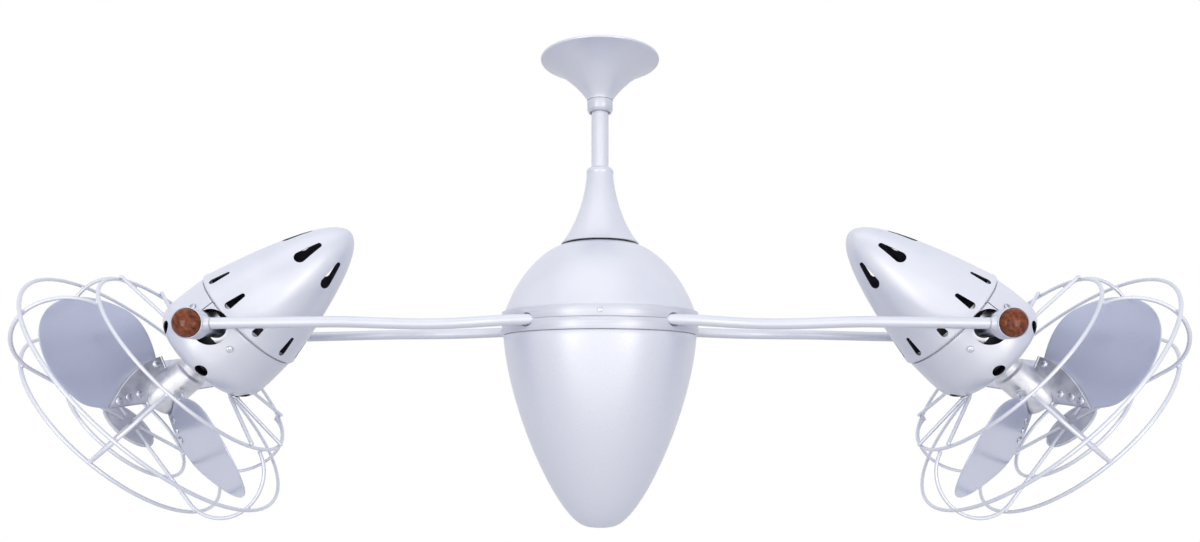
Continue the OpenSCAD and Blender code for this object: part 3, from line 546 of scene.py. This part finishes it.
# %% [markdown]
# ## Cutting holes
# Holes could be left out of a shell's own faces, but their rims would follow its grid. A Boolean cuts
# them true instead, as a drill or punch does: a cutter is modelled at its place, taken away from the
# shell and deleted, and the exact solver keeps the rims clean. The arms' four holes go through the
# dome and both band rings, so their drills stay until the band is made.


# %% Cutting
def cut(piece, cutter, edge=0):
    """Cuts a hole whose walls take the piece's material slot numbered edge"""
    cutter.data.materials.clear()
    for finish in piece.data.materials:
        cutter.data.materials.append(finish)
    for face in cutter.data.polygons:
        face.material_index = edge
    only(piece)
    bpy.ops.object.modifier_add(type="BOOLEAN")
    piece.modifiers[-1].operation = "DIFFERENCE"
    piece.modifiers[-1].solver = "EXACT"
    piece.modifiers[-1].object = cutter
    apply_all(piece)


ARM_HOLE_R = 8
drill = tube_along("arm_drill", [arm_point(0.02), arm_point(0.14), arm_point(0.26)], ARM_HOLE_R, 32)
drills = joined([copy_of(drill, "arm_drills", Matrix.Diagonal((x, y, 1, 1))) for x in (1, -1)
                 for y in (1, -1)], "arm_drills")
cut(dome, drills)
hand_over(dome, satin_paint, "arm_body", ["upper_dome"])

# %% [markdown]
# ## Band and lower shell
# Two flat rings make the band, with a thin shadow line between them and under the lower one. One ring
# with a groove could stand for both, but they are two parts, and the gap between them darkens by
# itself. Their edges are eased by 0.7 mm, which is what catches the light as a bright line. The lower
# shell is spun like the dome, and closes the egg below.


# %% Band and lower shell
BAND_IN, BAND_OUT, EASE = 117.2, 120.8, 0.7


def band(low, high):
    """The outline of a flat ring with eased outer edges, between two heights"""
    return [(BAND_IN, low), (BAND_OUT - EASE, low), (BAND_OUT - 0.2, low + 0.25), (BAND_OUT, low + EASE),
            (BAND_OUT, high - EASE), (BAND_OUT - 0.2, high - 0.25), (BAND_OUT - EASE, high),
            (BAND_IN, high), (BAND_IN, low)]


for name, low, high in (("upper_band", -327.95, -314.2), ("lower_band", -341.8, -328.05)):
    ring = turned(f"{name}_ring", band(low, high), 160)
    cut(ring, drills)
    hand_over(ring, band_metal, "arm_body", [name])
remove(drill)
remove(drills)
belly = curve((118.7, -343.2), (113.9, -429), (52.5, -570.5), (17, -576.4), 34) + [(10, -577.3), (0, -577.5)]
egg = turned("lower_egg", [(105, -342), (117.4, -342), (118.3, -342.4)] + belly, 128)
wall(egg, BODY_SHEET)
hand_over(egg, shell_metal, "arm_body", ["lower_shell"])

# %% [markdown]
# ## Cross-head screws
# One screw is modelled and copied to every place. Its head is a low turned dome with a cross recess.
# The cross could be a dark mark in the material, but only a real recess has lit and shaded walls, so
# two thin boxes with eased edges cut it. Each copy is turned by another angle, because nobody lines
# the recesses up.


# %% One screw
def screw(radius, height, shank, length):
    """A screw in mm that stands on Z = 0, with its head above and its shank below"""
    half = radius * 0.5
    head = curve((0, height), (half, height), (radius, height * 0.9), (radius, height * 0.25), 6)
    made = turned("screw", head + [(radius, 0), (shank, 0), (shank, -length), (0, -length)], 24)
    for angle in (0, 90):
        bpy.ops.object.select_all(action="DESELECT")
        bpy.ops.mesh.primitive_cube_add(size=1, location=(0, 0, height * MM),
                                        rotation=(0, 0, math.radians(angle)),
                                        scale=(radius * 1.2 * MM, radius * 0.24 * MM, height * 1.2 * MM))
        recess = bpy.context.object
        settle(recess)
        bpy.ops.object.mode_set(mode="EDIT")
        bpy.ops.mesh.select_all(action="SELECT")
        bpy.ops.mesh.bevel(offset=radius * 0.05 * MM, segments=1)
        bpy.ops.object.mode_set(mode="OBJECT")
        cut(made, recess)
        remove(recess)
    return made


def turn_z(angle):
    """A turn round Z by an angle in degrees"""
    return Matrix.Rotation(math.radians(angle), 4, "Z")


def stand_on(point, direction, twist=0):
    """A frame at a point in mm with +Z along a direction"""
    turn_to = Vector(direction).to_track_quat("Z", "Y").to_matrix().to_4x4()
    return Matrix.Translation(Vector(point) * MM) @ turn_to @ turn_z(twist)


band_screw = screw(3.2, 1.4, 1.5, 5)
spots = [((0, -BAND_OUT, -321.1), (0, -1, 0)), ((0, BAND_OUT, -321.1), (0, 1, 0)),
         ((-BAND_OUT, 0, -334.9), (-1, 0, 0)), ((BAND_OUT, 0, -334.9), (1, 0, 0))]
screws = [copy_of(band_screw, "band_screw", stand_on(p, d, 20 + 31 * i)) for i, (p, d) in enumerate(spots)]
hand_over(joined(screws, "band_screw_set"), zinc_steel, "arm_body", ["band_screws"])
remove(band_screw)

# %% [markdown]
# ## Arms
# A short thick sleeve is welded to the end of each arm, and the weld leaves a soft fillet where the
# tube meets it. A Boolean could fuse the three, but the fillet covers their seam, so they are only
# joined into one object. The arm is made at the near left.

# %% Arm with its sleeve
ARM_R, SLEEVE_R = 6.35, 17.1
PIVOT = Matrix.Translation(Vector((-HEAD_REACH, 0, PIVOT_Z)) * MM)
ALONG_TILT = PIVOT @ Matrix.Rotation(math.radians(90), 4, "X")  # +Z runs out to the near side
tube_bar = tube_along("arm_tube", arm_axis, ARM_R, 24)
sleeve = turned("arm_sleeve", [(8.1, 104), (16.3, 104), (16.9, 104.3), (SLEEVE_R, 105), (SLEEVE_R, 124),
                               (16.9, 124.7), (16.5, 125), (16.1, 124.7), (16, 124), (16, 119), (8.1, 119),
                               (8.1, 104)], 64)
settle(sleeve, ALONG_TILT)
weld = turned("arm_weld", [(6.2, 5)] + curve((6.4, 4.6), (6.7, 1.6), (7.6, 0.6), (9.2, -1.4), 6)
              + [(6, -1.4)], 32)
inward = (arm_point(0.95) - arm_point(1)).normalized()
settle(weld, stand_on(arm_point(1) + Vector((16.6, 0, 0)), inward))
near_arm = joined([tube_bar, sleeve, weld], "near_arm")
print("arm made:", len(near_arm.data.vertices), "points")

# %% [markdown]
# ## Knobs
# A knob sits in the sleeve with its lacquered dome proud of the rim, and its stem reaches through
# the sleeve to the head's post. Half a sphere could be the dome, but the real one is flatter, with a
# small shoulder where it leaves the rim, so it is turned from its own outline.

# %% Knob
grip = [(0, 95.1), (4, 95.1), (4, 119.1), (15.2, 119.1), (15.6, 119.5), (15.6, 124.4)]
grip += curve((15.6, 125.4), (14, 131.4), (7.8, 133.4), (0, 133.4), 16)
near_knob = turned("near_knob", grip, 64)
settle(near_knob, ALONG_TILT)
print("knob made:", len(near_knob.data.vertices), "points")

# %% [markdown]
# ## Four of each
# The near left arm and knob are mirrored to the other three places. A Mirror modifier would keep
# them in one object, but they need to move apart: the arms ride on the turning body, and each knob
# turns on its own joint.

# %% Four arms and four knobs
for side, x in (("left", 1), ("right", -1)):
    for place_name, y in (("front", 1), ("rear", -1)):
        way = Matrix.Diagonal((x, y, 1, 1))
        name = f"{side}_{place_name}"
        hand_over(copy_of(near_arm, f"{name}_arm_tube", way), satin_paint, "arm_body",
                  [f"{name}_arm"])
        hand_over(copy_of(near_knob, f"{name}_grip", way), wood, f"{name}_knob",
                  [f"{name}_knob"])
remove(near_arm)
remove(near_knob)

# %% [markdown]
# ## The head's own frame
# A head could be modelled at its tilt, but round its own axis every angle and height is a plain
# number. So each piece is made upright round Z, with the tilt axis through the origin and the air
# blowing along +Z, and is then turned into place on the left head and mirrored to the right one.
# Angles round it are counted from the side near the camera.

# %% Head frame
HEAD_TILT = -131
HEAD = PIVOT @ Matrix.Rotation(math.radians(HEAD_TILT), 4, "Y")
FLIP = Matrix.Diagonal((-1, 1, 1, 1))
FROM_X = -90  # turns what was modelled along +X to the side near the camera


def around(radius, angle, z):
    """A point in the head's frame, in mm"""
    a = math.radians(angle)
    return Vector((radius * math.sin(a), -radius * math.cos(a), z))


def facing(angle, radius, z, tilt):
    """A frame at a place round the head whose +Z leans out from the head's axis by tilt degrees"""
    a, t = math.radians(angle), math.radians(tilt)
    return stand_on(around(radius, angle, z),
                    (math.sin(t) * math.sin(a), -math.sin(t) * math.cos(a), math.cos(t)))


def on_both_heads(piece, name, finish, part, nodes, angle=35):
    """Sets a piece on the left head and its mirror image on the right one"""
    for side, way in (("left", HEAD), ("right", FLIP @ HEAD)):
        hand_over(copy_of(piece, f"{side}_{name}", way), finish, f"{side}_{part}",
                  [f"{side}_{node}" for node in nodes], angle)
    remove(piece)


print("head axis points along", [round(v, 3) for v in HEAD.to_3x3() @ Vector((0, 0, 1))])

# %% [markdown]
# ## Tail shell
# The tail is a long spun cone with two rows of drop-shaped vents and a small rolled lip over the
# housing. Its inside and the walls of its vents get a dark lining, which is painted shade for the dark
# inside the cone. The vents could be insets in its faces, but real ones are punched through the
# finished cone, so these are too. A drop is a circle whose far half is pinched and moved out. It is
# extruded into a punch, and the punch is copied round the axis.


# %% Tail shell
def drop_punches(z, big, small, length, count):
    """Punches in mm for a row of drops, their round ends towards the blades"""
    first, inside, reach = 4, 25, 70
    bpy.ops.object.select_all(action="DESELECT")
    bpy.ops.mesh.primitive_circle_add(vertices=32, radius=big * MM, fill_type="NGON")
    punch = bpy.context.object
    bpy.ops.object.mode_set(mode="EDIT")
    shape = bmesh.from_edit_mesh(punch.data)
    for vert in shape.verts:
        vert.select = vert.co.x < -0.0001
    shape.select_flush_mode()
    bpy.ops.transform.resize(value=(small / big, small / big, 1), center_override=(0, 0, 0))
    bpy.ops.transform.translate(value=(-length * MM, 0, 0))
    bpy.ops.mesh.select_all(action="SELECT")
    bpy.ops.mesh.extrude_region_move(TRANSFORM_OT_translate={"value": (0, 0, reach * MM)})
    tidy()
    outward = Matrix(((0, 0, 1), (0, -1, 0), (1, 0, 0))).to_4x4()
    start = Matrix.Translation((inside * MM, 0, z * MM)) @ outward
    row = [copy_of(punch, "punches", turn_z(first + 360 * i / count + FROM_X) @ start)
           for i in range(count)]
    remove(punch)
    return joined(row, "punches")


cone = [(67.4, -24.4), (67.6, -23.1), (68.8, -22.3), (70.8, -22.1), (71.7, -22.6), (71.9, -23.8),
        (71.4, -25.4)]
cone += curve((70.5, -27.2), (55.8, -86.9), (29.9, -186.3), (0, -187.5), 30)
tail = turned("tail", cone)
# The dark lining inside, and on the vent walls cut below, is painted shade.
wall(tail, SHEET, lining=painted_shade_lining)
for z, big, small, length, count in ((-32.5, 4.5, 2.6, 18.4, 10), (-126.5, 6.8, 3, 25, 6)):
    punches = drop_punches(z, big, small, length, count)
    cut(tail, punches, 1)
    remove(punches)
on_both_heads(tail, "tail_cone", satin_paint, "head", ["tail_shell"])

# %% [markdown]
# ## Front housing
# The front housing is a spun cup, and its inside gets the same dark lining, painted shade in place of
# the dark inside it. It has a wide hole for the hub's neck, six round vents on its front corner, a
# large hole round each tilt post and a fine slit that runs from there to the seam. The neck's hole is
# part of the outline, because it is round the cup's own axis.
# The others can't be, so they are punched through the finished cup.


# %% Front housing
def round_punch(radius, length, frame_at, sides=40):
    """A round punch along +Z of a frame, centred on it"""
    bpy.ops.object.select_all(action="DESELECT")
    bpy.ops.mesh.primitive_circle_add(vertices=sides, radius=radius * MM, fill_type="NGON",
                                      location=(0, 0, -length / 2 * MM))
    punch = bpy.context.object
    settle(punch)
    bpy.ops.object.mode_set(mode="EDIT")
    bpy.ops.mesh.extrude_region_move(TRANSFORM_OT_translate={"value": (0, 0, length * MM)})
    tidy()
    settle(punch, frame_at)
    return punch


POST_HOLE_R, VENT_R, SLIT_WIDE, SLIT_LONG = 21, 7.75, 1.1, 34.5
cup = [(22.5, 55.6), (22.6, 56.7), (23.4, 57)] + curve((36.2, 57), (62.3, 57), (72.4, 46), (72.4, 28), 18)
cup += curve((72.4, 26), (72.4, 8), (70.8, -8), (70, -18.6), 12)
cup += [(69.4, -19.5), (66.2, -19.9), (66.2, -30)]
housing = turned("housing", cup)
# The dark lining inside, and on the walls of the holes cut below, is painted shade.
wall(housing, SHEET, lining=painted_shade_lining)
print("housing cup volume before its holes:", round(volume(housing)))
punches = [round_punch(POST_HOLE_R, 200, Matrix.Rotation(math.radians(90), 4, "X"), 64)]
punches += [round_punch(VENT_R, 20, facing(-25 + 60 * k, 68.4, 44, 58)) for k in range(6)]
for angle in (17.5, 162.5):
    bpy.ops.object.select_all(action="DESELECT")
    bpy.ops.mesh.primitive_cube_add(size=1, scale=(SLIT_WIDE * MM, 20 * MM, SLIT_LONG * MM))
    punches.append(bpy.context.object)
    settle(punches[-1], turn_z(angle) @ Matrix.Translation((0, -67 * MM, -17.3 * MM)))
for punch in punches:
    cut(housing, punch, 1)
    remove(punch)
print("housing cup volume with its holes:", round(volume(housing)))
on_both_heads(housing, "housing_cup", satin_paint, "head", ["front_housing"])

# %% [markdown]
# ## Head screws
# Four screws hold the housing to the bracket inside, and three more hold the lugs of the cage. They
# could be one screw with an array round the axis, but their angles are uneven, so each copy gets its
# own frame. Each recess is turned by its screw's angle, read as radians, so that no two line up.

# %% Head screws
SCREWS, LUGS = (27, 153, 207, 333), (-84.5, 101, 204)
LUG_SEAT, LUG_THICK = (60, 52.1, 30), 2.2
LUG_TOP = Matrix.Translation((0, 0, LUG_THICK * MM))
head_screw = screw(4, 2, 2, 11)
places = [facing(a, 72.1, 1.5, 90) @ Matrix.Rotation(a, 4, "Z") for a in SCREWS]
places += [facing(a, *LUG_SEAT) @ LUG_TOP @ Matrix.Rotation(a, 4, "Z") for a in LUGS]
screws = [copy_of(head_screw, "head_screw", at) for at in places]
remove(head_screw)
on_both_heads(joined(screws, "screws"), "screw_set", zinc_steel, "head", ["head_screws"])

# %% [markdown]
# ## Cage rings
# The cage is bent from one gauge of wire. A torus would be a ring at once, but the same wire section
# has to make the ribs too, so that they match. The section is a circle, stood up at the ring's radius
# and spun round the head's axis, and a small flat bead marks the butt weld.


# %% Rings
WIRE_R = 2.2


def section(name, radius, point, lean=(math.radians(90), 0, 0)):
    """A circle of wire that stands across its path at (radius, height), left in edit mode"""
    bpy.ops.object.select_all(action="DESELECT")
    bpy.ops.mesh.primitive_circle_add(vertices=12, radius=radius * MM,
                                      location=(point[0] * MM, 0, point[1] * MM), rotation=lean)
    piece = bpy.context.object
    settle(piece)
    piece.name = piece.data.name = name
    bpy.ops.object.mode_set(mode="EDIT")
    bpy.ops.mesh.select_all(action="SELECT")
    return piece


def bead(point, radius, squash):
    """A small flattened weld bead at a point in mm"""
    bpy.ops.object.select_all(action="DESELECT")
    bpy.ops.mesh.primitive_uv_sphere_add(segments=10, ring_count=6, radius=radius * MM)
    made = bpy.context.object
    settle(made, stand_on(point, (0, 0, 1)) @ Matrix.Diagonal((1, 1, squash, 1)))
    return made


RINGS = {"rear": (138.5, 63.2, 60), "middle": (186.4, 119.8, 15), "front": (140.5, 176.0, 200),
         "inner": (83.5, 177.2, 130)}
for ring_name, (radius, z, weld_at) in RINGS.items():
    hoop = section("hoop", WIRE_R, (radius, z))
    spin(96)
    whole = joined([hoop, bead(around(radius, weld_at, z), 2.5, 0.9)], "hoop")
    on_both_heads(whole, f"{ring_name}_hoop", wire_paint, "head", [f"cage_{ring_name}_ring"], 60)

# %% [markdown]
# ## Ribs
# Six ribs run from the rear ring, round the rim and in to the dished boss. A rib is a bend and a
# straight, so it needs no points along a curve: the wire section is spun about the middle of the
# bend, its end is extruded straight in, and both ends are closed. Beads sit where a rib crosses the
# rings, as the spot welds do.

# %% Ribs
BEND_X, BEND_Z, BEND_R, RIB_START, RIB_END = 129, 119.8, 53, -80.5, 12


def on_bend(radius, angle):
    """A place round the middle of the ribs' bend, as (radius, height) from the head's axis"""
    a = math.radians(angle)
    return BEND_X + radius * math.cos(a), BEND_Z + radius * math.sin(a)


rib = section("rib", WIRE_R, on_bend(BEND_R, RIB_START), (0, math.radians(-RIB_START), 0))
bpy.ops.mesh.spin(steps=28, angle=math.radians(90 - RIB_START), center=(BEND_X * MM, 0, BEND_Z * MM),
                  axis=(0, 1, 0))
bpy.ops.mesh.extrude_region_move(TRANSFORM_OT_translate={"value": ((RIB_END - BEND_X) * MM, 0, 0)})
bpy.ops.mesh.select_all(action="DESELECT")
bpy.ops.mesh.select_mode(type="EDGE")
bpy.ops.mesh.select_non_manifold()
bpy.ops.mesh.edge_face_add()
bpy.ops.mesh.select_mode(type="VERT")
tidy()
crossings = [on_bend(BEND_R + WIRE_R, angle) for angle in (RIB_START, 0, 78.4)] + [(83.5, 174.9)]
rib = joined([rib] + [bead((r, 0, z), 3, 0.75) for r, z in crossings], "rib")
ribs = [copy_of(rib, "rib", turn_z(-20 + 60 * i + FROM_X)) for i in range(6)]
remove(rib)
print("one rib copied", len(ribs), "times, its start at", [round(v, 1) for v in on_bend(BEND_R, RIB_START)])
on_both_heads(joined(ribs, "ribs"), "rib_set", wire_paint, "head", ["cage_ribs"], 60)

# %% [markdown]
# ## The dished boss
# The ribs meet behind a pressed cap with a rolled rim. The roll could be more points in the cap's
# outline, but a ring of wire joined to its edge is rounder and simpler.

# %% Boss
BOSS_SHEET, RIM_R = 0.8, 1.5
boss = turned("boss", curve((0, 188.4), (16, 188.4), (28.5, 181.4), (34.6, 177.3), 16), 64)
wall(boss, BOSS_SHEET, lining=band_metal)
rim = section("rim", RIM_R, (34.5, 176.4))
spin(64)
on_both_heads(joined([boss, rim], "boss"), "boss_cap", band_metal, "head", ["cage_ribs"])

# %% [markdown]
# ## Spokes
# Three pairs of rods carry the cage from the rim of the housing. The two rods of a pair spread from
# one round lug under its screw, and each ends at the rear ring in a flattened weld. They are straight,
# so the tube tool that made the arms draws them from a few points.

# %% Spokes
SPOKE_R, ROOT_SPREAD, FOOT_SPREAD = 2.3, 7, 16
parts = []
for centre in LUGS:
    for s in (-1, 1):
        root = around(61.25, centre + s * ROOT_SPREAD, 54.3)
        foot = around(138.2, centre + s * FOOT_SPREAD, 58.7)
        parts.append(tube_along("spoke", [root, root.lerp(foot, 0.03), root.lerp(foot, 0.5),
                                          root.lerp(foot, 0.97), foot], SPOKE_R, 14))
        parts.append(bead(foot, 3.1, 0.8))
    lug = turned("lug", [(2.2, 0.2), (6.6, 0.2), (7, 0.6), (7, 1.8), (6.6, LUG_THICK), (2.2, LUG_THICK),
                         (2.2, 0.2)], 32)
    settle(lug, facing(centre, *LUG_SEAT))
    parts.append(lug)
on_both_heads(joined(parts, "spokes"), "spoke_set", wire_paint, "head", ["cage_spokes"], 40)

# %% [markdown]
# ## Blades
# A blade is sheet aluminium, pressed into a twist: steep at the root, flatter at the tip. A flat
# shape could be twisted by a modifier, but width, pitch and sweep all change along the blade, and
# they are formulas. So a grid is added, and its points are moved in code onto the twisted surface.
# Solidify then gives the sheet its 1.4 mm and Bevel rounds its cut edge.


# %% Blade surface
ROOT_R, SPAN, ROOT_Z, FALL, BLADE_SHEET = 24, 142, 119.5, 7.5, 1.4
ROOT_PITCH, UNTWIST, SWEEP = 48, 11, 4  # degrees
ROOT_WIDTH, WIDEN, WIDEST_AT, ROUND_FROM = 43, 87, 0.55, 0.4
BLADE_TURNS = [turn_z(44 + 120 * i) for i in range(3)]


def blade_point(r, over, lift):
    """A point of the blade's surface at a radius, a place across it and a height off it, in mm"""
    def middle_of(r, over):
        u = (r - ROOT_R) / SPAN
        pitch = math.radians(ROOT_PITCH - UNTWIST * u)
        return around(r, -SWEEP * u - math.degrees(over * math.cos(pitch) / r),
                      ROOT_Z - FALL * u + over * math.sin(pitch))
    along = middle_of(r + 0.5, over) - middle_of(r - 0.5, over)
    sideways = middle_of(r, over + 0.5) - middle_of(r, over - 0.5)
    return middle_of(r, over) + lift * along.cross(sideways).normalized()


def blade_width(u):
    """The blade's width in mm at a share u of its span: it widens from the root and rounds off"""
    wide = ROOT_WIDTH + WIDEN * math.sin(math.pi / 2 * min(u / WIDEST_AT, 1))
    rounding = (max(u - ROUND_FROM, 0) / (1 - ROUND_FROM)) ** 2.2
    return wide * math.sqrt(max(1 - rounding, 0))


def grid_on(name, across, along, surface):
    """A grid whose points run 0 to 1 both ways and are moved onto surface(s, t), in mm"""
    bpy.ops.object.select_all(action="DESELECT")
    bpy.ops.mesh.primitive_grid_add(x_subdivisions=along, y_subdivisions=across, size=1, location=(0, 0, 0))
    piece = bpy.context.object
    piece.name = piece.data.name = name
    for vert in piece.data.vertices:
        vert.co = surface(vert.co.x + 0.5, vert.co.y + 0.5) * MM
    bpy.ops.object.mode_set(mode="EDIT")
    tidy(0.00002)
    return piece


def on_blade(s, t):
    """The blade's surface: s runs to the tip, with its points closer together there, and t across"""
    u = math.sin(math.pi / 2 * s) * 0.9995
    return blade_point(ROOT_R + SPAN * u, blade_width(u) * (t - 0.5), 0)


sheet = grid_on("sheet", 22, 44, on_blade)
wall(sheet, BLADE_SHEET, 0)
eased(sheet, 0.5)
for i, turn_to in enumerate(BLADE_TURNS, 1):
    on_both_heads(copy_of(sheet, "sheet_copy", turn_to), f"blade_{i}_sheet", blade_metal, "rotor",
                  [f"blade_{i}"], 40)
remove(sheet)

# %% [markdown]
# ## Cast hub
# The hub is a cast boss on a narrower neck, with three cast wings that carry the blades. A wing could
# be a block cut to shape, but it follows the twist of its blade. So it is a grid too, a few
# millimetres off the blade's own surface, and a raised bead runs round its free edges.

# %% Hub and wings
hub = turned("hub", [(0, 58.5), (17.7, 58.5), (18.5, 59.3), (18.5, 72.3), (19.1, 73.6), (20.8, 75.2),
                     (22, 77.4), (22, 129.5), (21.6, 131.2), (20.2, 132.2), (18.8, 132.5), (17.6, 132.2),
                     (17, 131.4), (16.2, 131.2), (0, 131.2)], 64)
WING_LIFT, WING_THICK, BEAD_LIFT, BEAD_R = 3.2, 4.8, 5, 1.6
CORNERS = ((20.5, -27), (20.5, 22), (38, -38), (63, 53))  # (radius, place across the blade)
hub_a, hub_b, edge_a, edge_b = [Vector(corner) for corner in CORNERS]


def on_wing(s, t):
    """The wing's middle surface: s runs out from the hub and t across"""
    spot = hub_a.lerp(hub_b, t).lerp(edge_a.lerp(edge_b, t), s)
    return blade_point(spot.x, spot.y, WING_LIFT)


wing = grid_on("wing", 12, 12, on_wing)
wall(wing, WING_THICK, 0)
eased(wing, 0.9, 3)
border = [hub_a.lerp(edge_a, i / 6) for i in range(6)] + [edge_a.lerp(edge_b, i / 12) for i in range(12)]
border += [edge_b.lerp(hub_b, i / 8) for i in range(9)]
bead_line = tube_along("wing_bead", [blade_point(spot.x, spot.y, BEAD_LIFT) for spot in border], BEAD_R, 10)
wing = joined([wing, bead_line], "wing")
wings = [copy_of(wing, "wing", turn_to) for turn_to in BLADE_TURNS]
remove(wing)
on_both_heads(joined([hub] + wings, "hub"), "hub_casting", cast_metal, "rotor", ["rotor_hub"],
              40)

# %% [markdown]
# ## Rivets
# Three rivets and one cross-head screw with a nut pin each blade to its wing. Their heads show on
# the wing and their low backs on the blade, so each is turned with both ends and stood on the
# surface's own normal, where a flat copy would sink in on one side.

# %% Rivets
HEAD_SEAT = 5.7
rivet = turned("rivet", curve((0, 2.4), (2.8, 2.4), (4.8, 1.3), (4.8, 0), 8)
               + [(2, 0), (2, -6.7), (4.8, -6.7), (4.7, -7.3), (3, -8.4), (0, -8.5)], 24)
nut = turned("nut", [(0, -6.7), (3.4, -6.7), (3.4, -8), (3, -8.5), (0, -8.5)], 20)
wing_screw = joined([screw(4.8, 2.2, 2, 6.7), nut], "wing_screw")
rivets = []
for turn_to in BLADE_TURNS:
    for pin, r, over in ((rivet, 31, 17.5), (wing_screw, 43, 28), (rivet, 54, 39), (rivet, 34, -26)):
        normal = (blade_point(r, over, 5) - blade_point(r, over, 4)).normalized()
        rivets.append(copy_of(pin, "rivet", turn_to @ stand_on(blade_point(r, over, HEAD_SEAT), normal)))
remove(rivet)
remove(wing_screw)
on_both_heads(joined(rivets, "rivets"), "rivet_set", zinc_steel, "rotor", ["rivets"], 40)

# %% [markdown]
# ## Studio
# The photograph is lit by large soft boxes on a white sweep. A broad lamp in front does most of the
# work, a weaker one above helps the tops, and two small boxes put the highlights on the lacquered
# knobs. More light could whiten the background, but it would also bleach the fan. So the world shows
# pure white to the camera and in reflections, and lights the fan with a weaker, bluish light.


# %% Studio
WARM = "FFFCF4"


def lamp(name, place, aim, size, watts):
    """A rectangular lamp at a place, aimed at a point, its size in metres"""
    data = bpy.data.lights.new(name, "AREA")
    data.shape, data.size, data.size_y = "RECTANGLE", size[0], size[1]
    data.energy, data.color = watts, colour(WARM)[:3]
    made = bpy.data.objects.new(name, data)
    made.location = place
    made.rotation_euler = (Vector(aim) - Vector(place)).to_track_quat("-Z", "Y").to_euler()
    scene.collection.objects.link(made)


def seen_by(tree, *rays):
    """1 for the kinds of ray that are named and 0 for all others"""
    path = add_node(tree, "ShaderNodeLightPath")
    found = path.outputs[rays[0]]
    for ray in rays[1:]:
        found = add_node(tree, "ShaderNodeMath", links={0: found, 1: path.outputs[ray]},
                         operation="MAXIMUM").outputs[0]
    return found


lamp("key", (-0.3, -1.0, 1.7), (0, 0, -0.35), (2.6, 1.6), 6)
lamp("front", (0, -2.6, -0.6), (0, 0, -0.4), (4.6, 3.0), 34)
for side in (-1, 1):
    lamp("front_box", (1.5 * side, -2.3, -0.35), (0, 0, -0.38), (0.6, 0.8), 5.5)
world = bpy.data.worlds.new("white_sweep")
world.use_nodes = True
scene.world = world
tree = world.node_tree
tree.nodes.clear()
light = add_node(tree, "ShaderNodeBackground", {"Color": colour("DAE3FB"), "Strength": 0.76})
white = add_node(tree, "ShaderNodeBackground", {"Color": (1, 1, 1, 1), "Strength": 1})
seen = seen_by(tree, "Is Camera Ray", "Is Glossy Ray", "Is Transmission Ray")
mix = add_node(tree, "ShaderNodeMixShader", links={0: seen, 1: light.outputs[0], 2: white.outputs[0]})
add_node(tree, "ShaderNodeOutputWorld", links={"Surface": mix.outputs[0]})
print("studio lamps and world are set")

# %% [markdown]
# ## Floor
# A wide floor lies far below the fan, as in a high room, because a near one would hide the fan from
# a view from low down. It throws a cool grey light up onto the undersides, but to the camera and in
# reflections it is white.

# %% Floor
FLOOR_SIZE, FLOOR_Z = 80, -6
bpy.ops.object.select_all(action="DESELECT")
bpy.ops.mesh.primitive_plane_add(size=FLOOR_SIZE, location=(0, 0, FLOOR_Z))
floor = bpy.context.object
floor.name = floor.data.name = "studio_floor"
floor_paint = bpy.data.materials.new("white_studio_floor")
floor_paint.use_nodes = True
tree = floor_paint.node_tree
tree.nodes.clear()
matt = add_node(tree, "ShaderNodeBsdfDiffuse", {"Color": colour("8E95AB")})
glow = add_node(tree, "ShaderNodeEmission", {"Color": (1, 1, 1, 1), "Strength": 1})
seen = seen_by(tree, "Is Camera Ray", "Is Glossy Ray")
mix = add_node(tree, "ShaderNodeMixShader", links={0: seen, 1: matt.outputs[0], 2: glow.outputs[0]})
add_node(tree, "ShaderNodeOutputMaterial", links={"Surface": mix.outputs[0]})
floor.data.materials.append(floor_paint)
print("floor at", FLOOR_Z, "m")
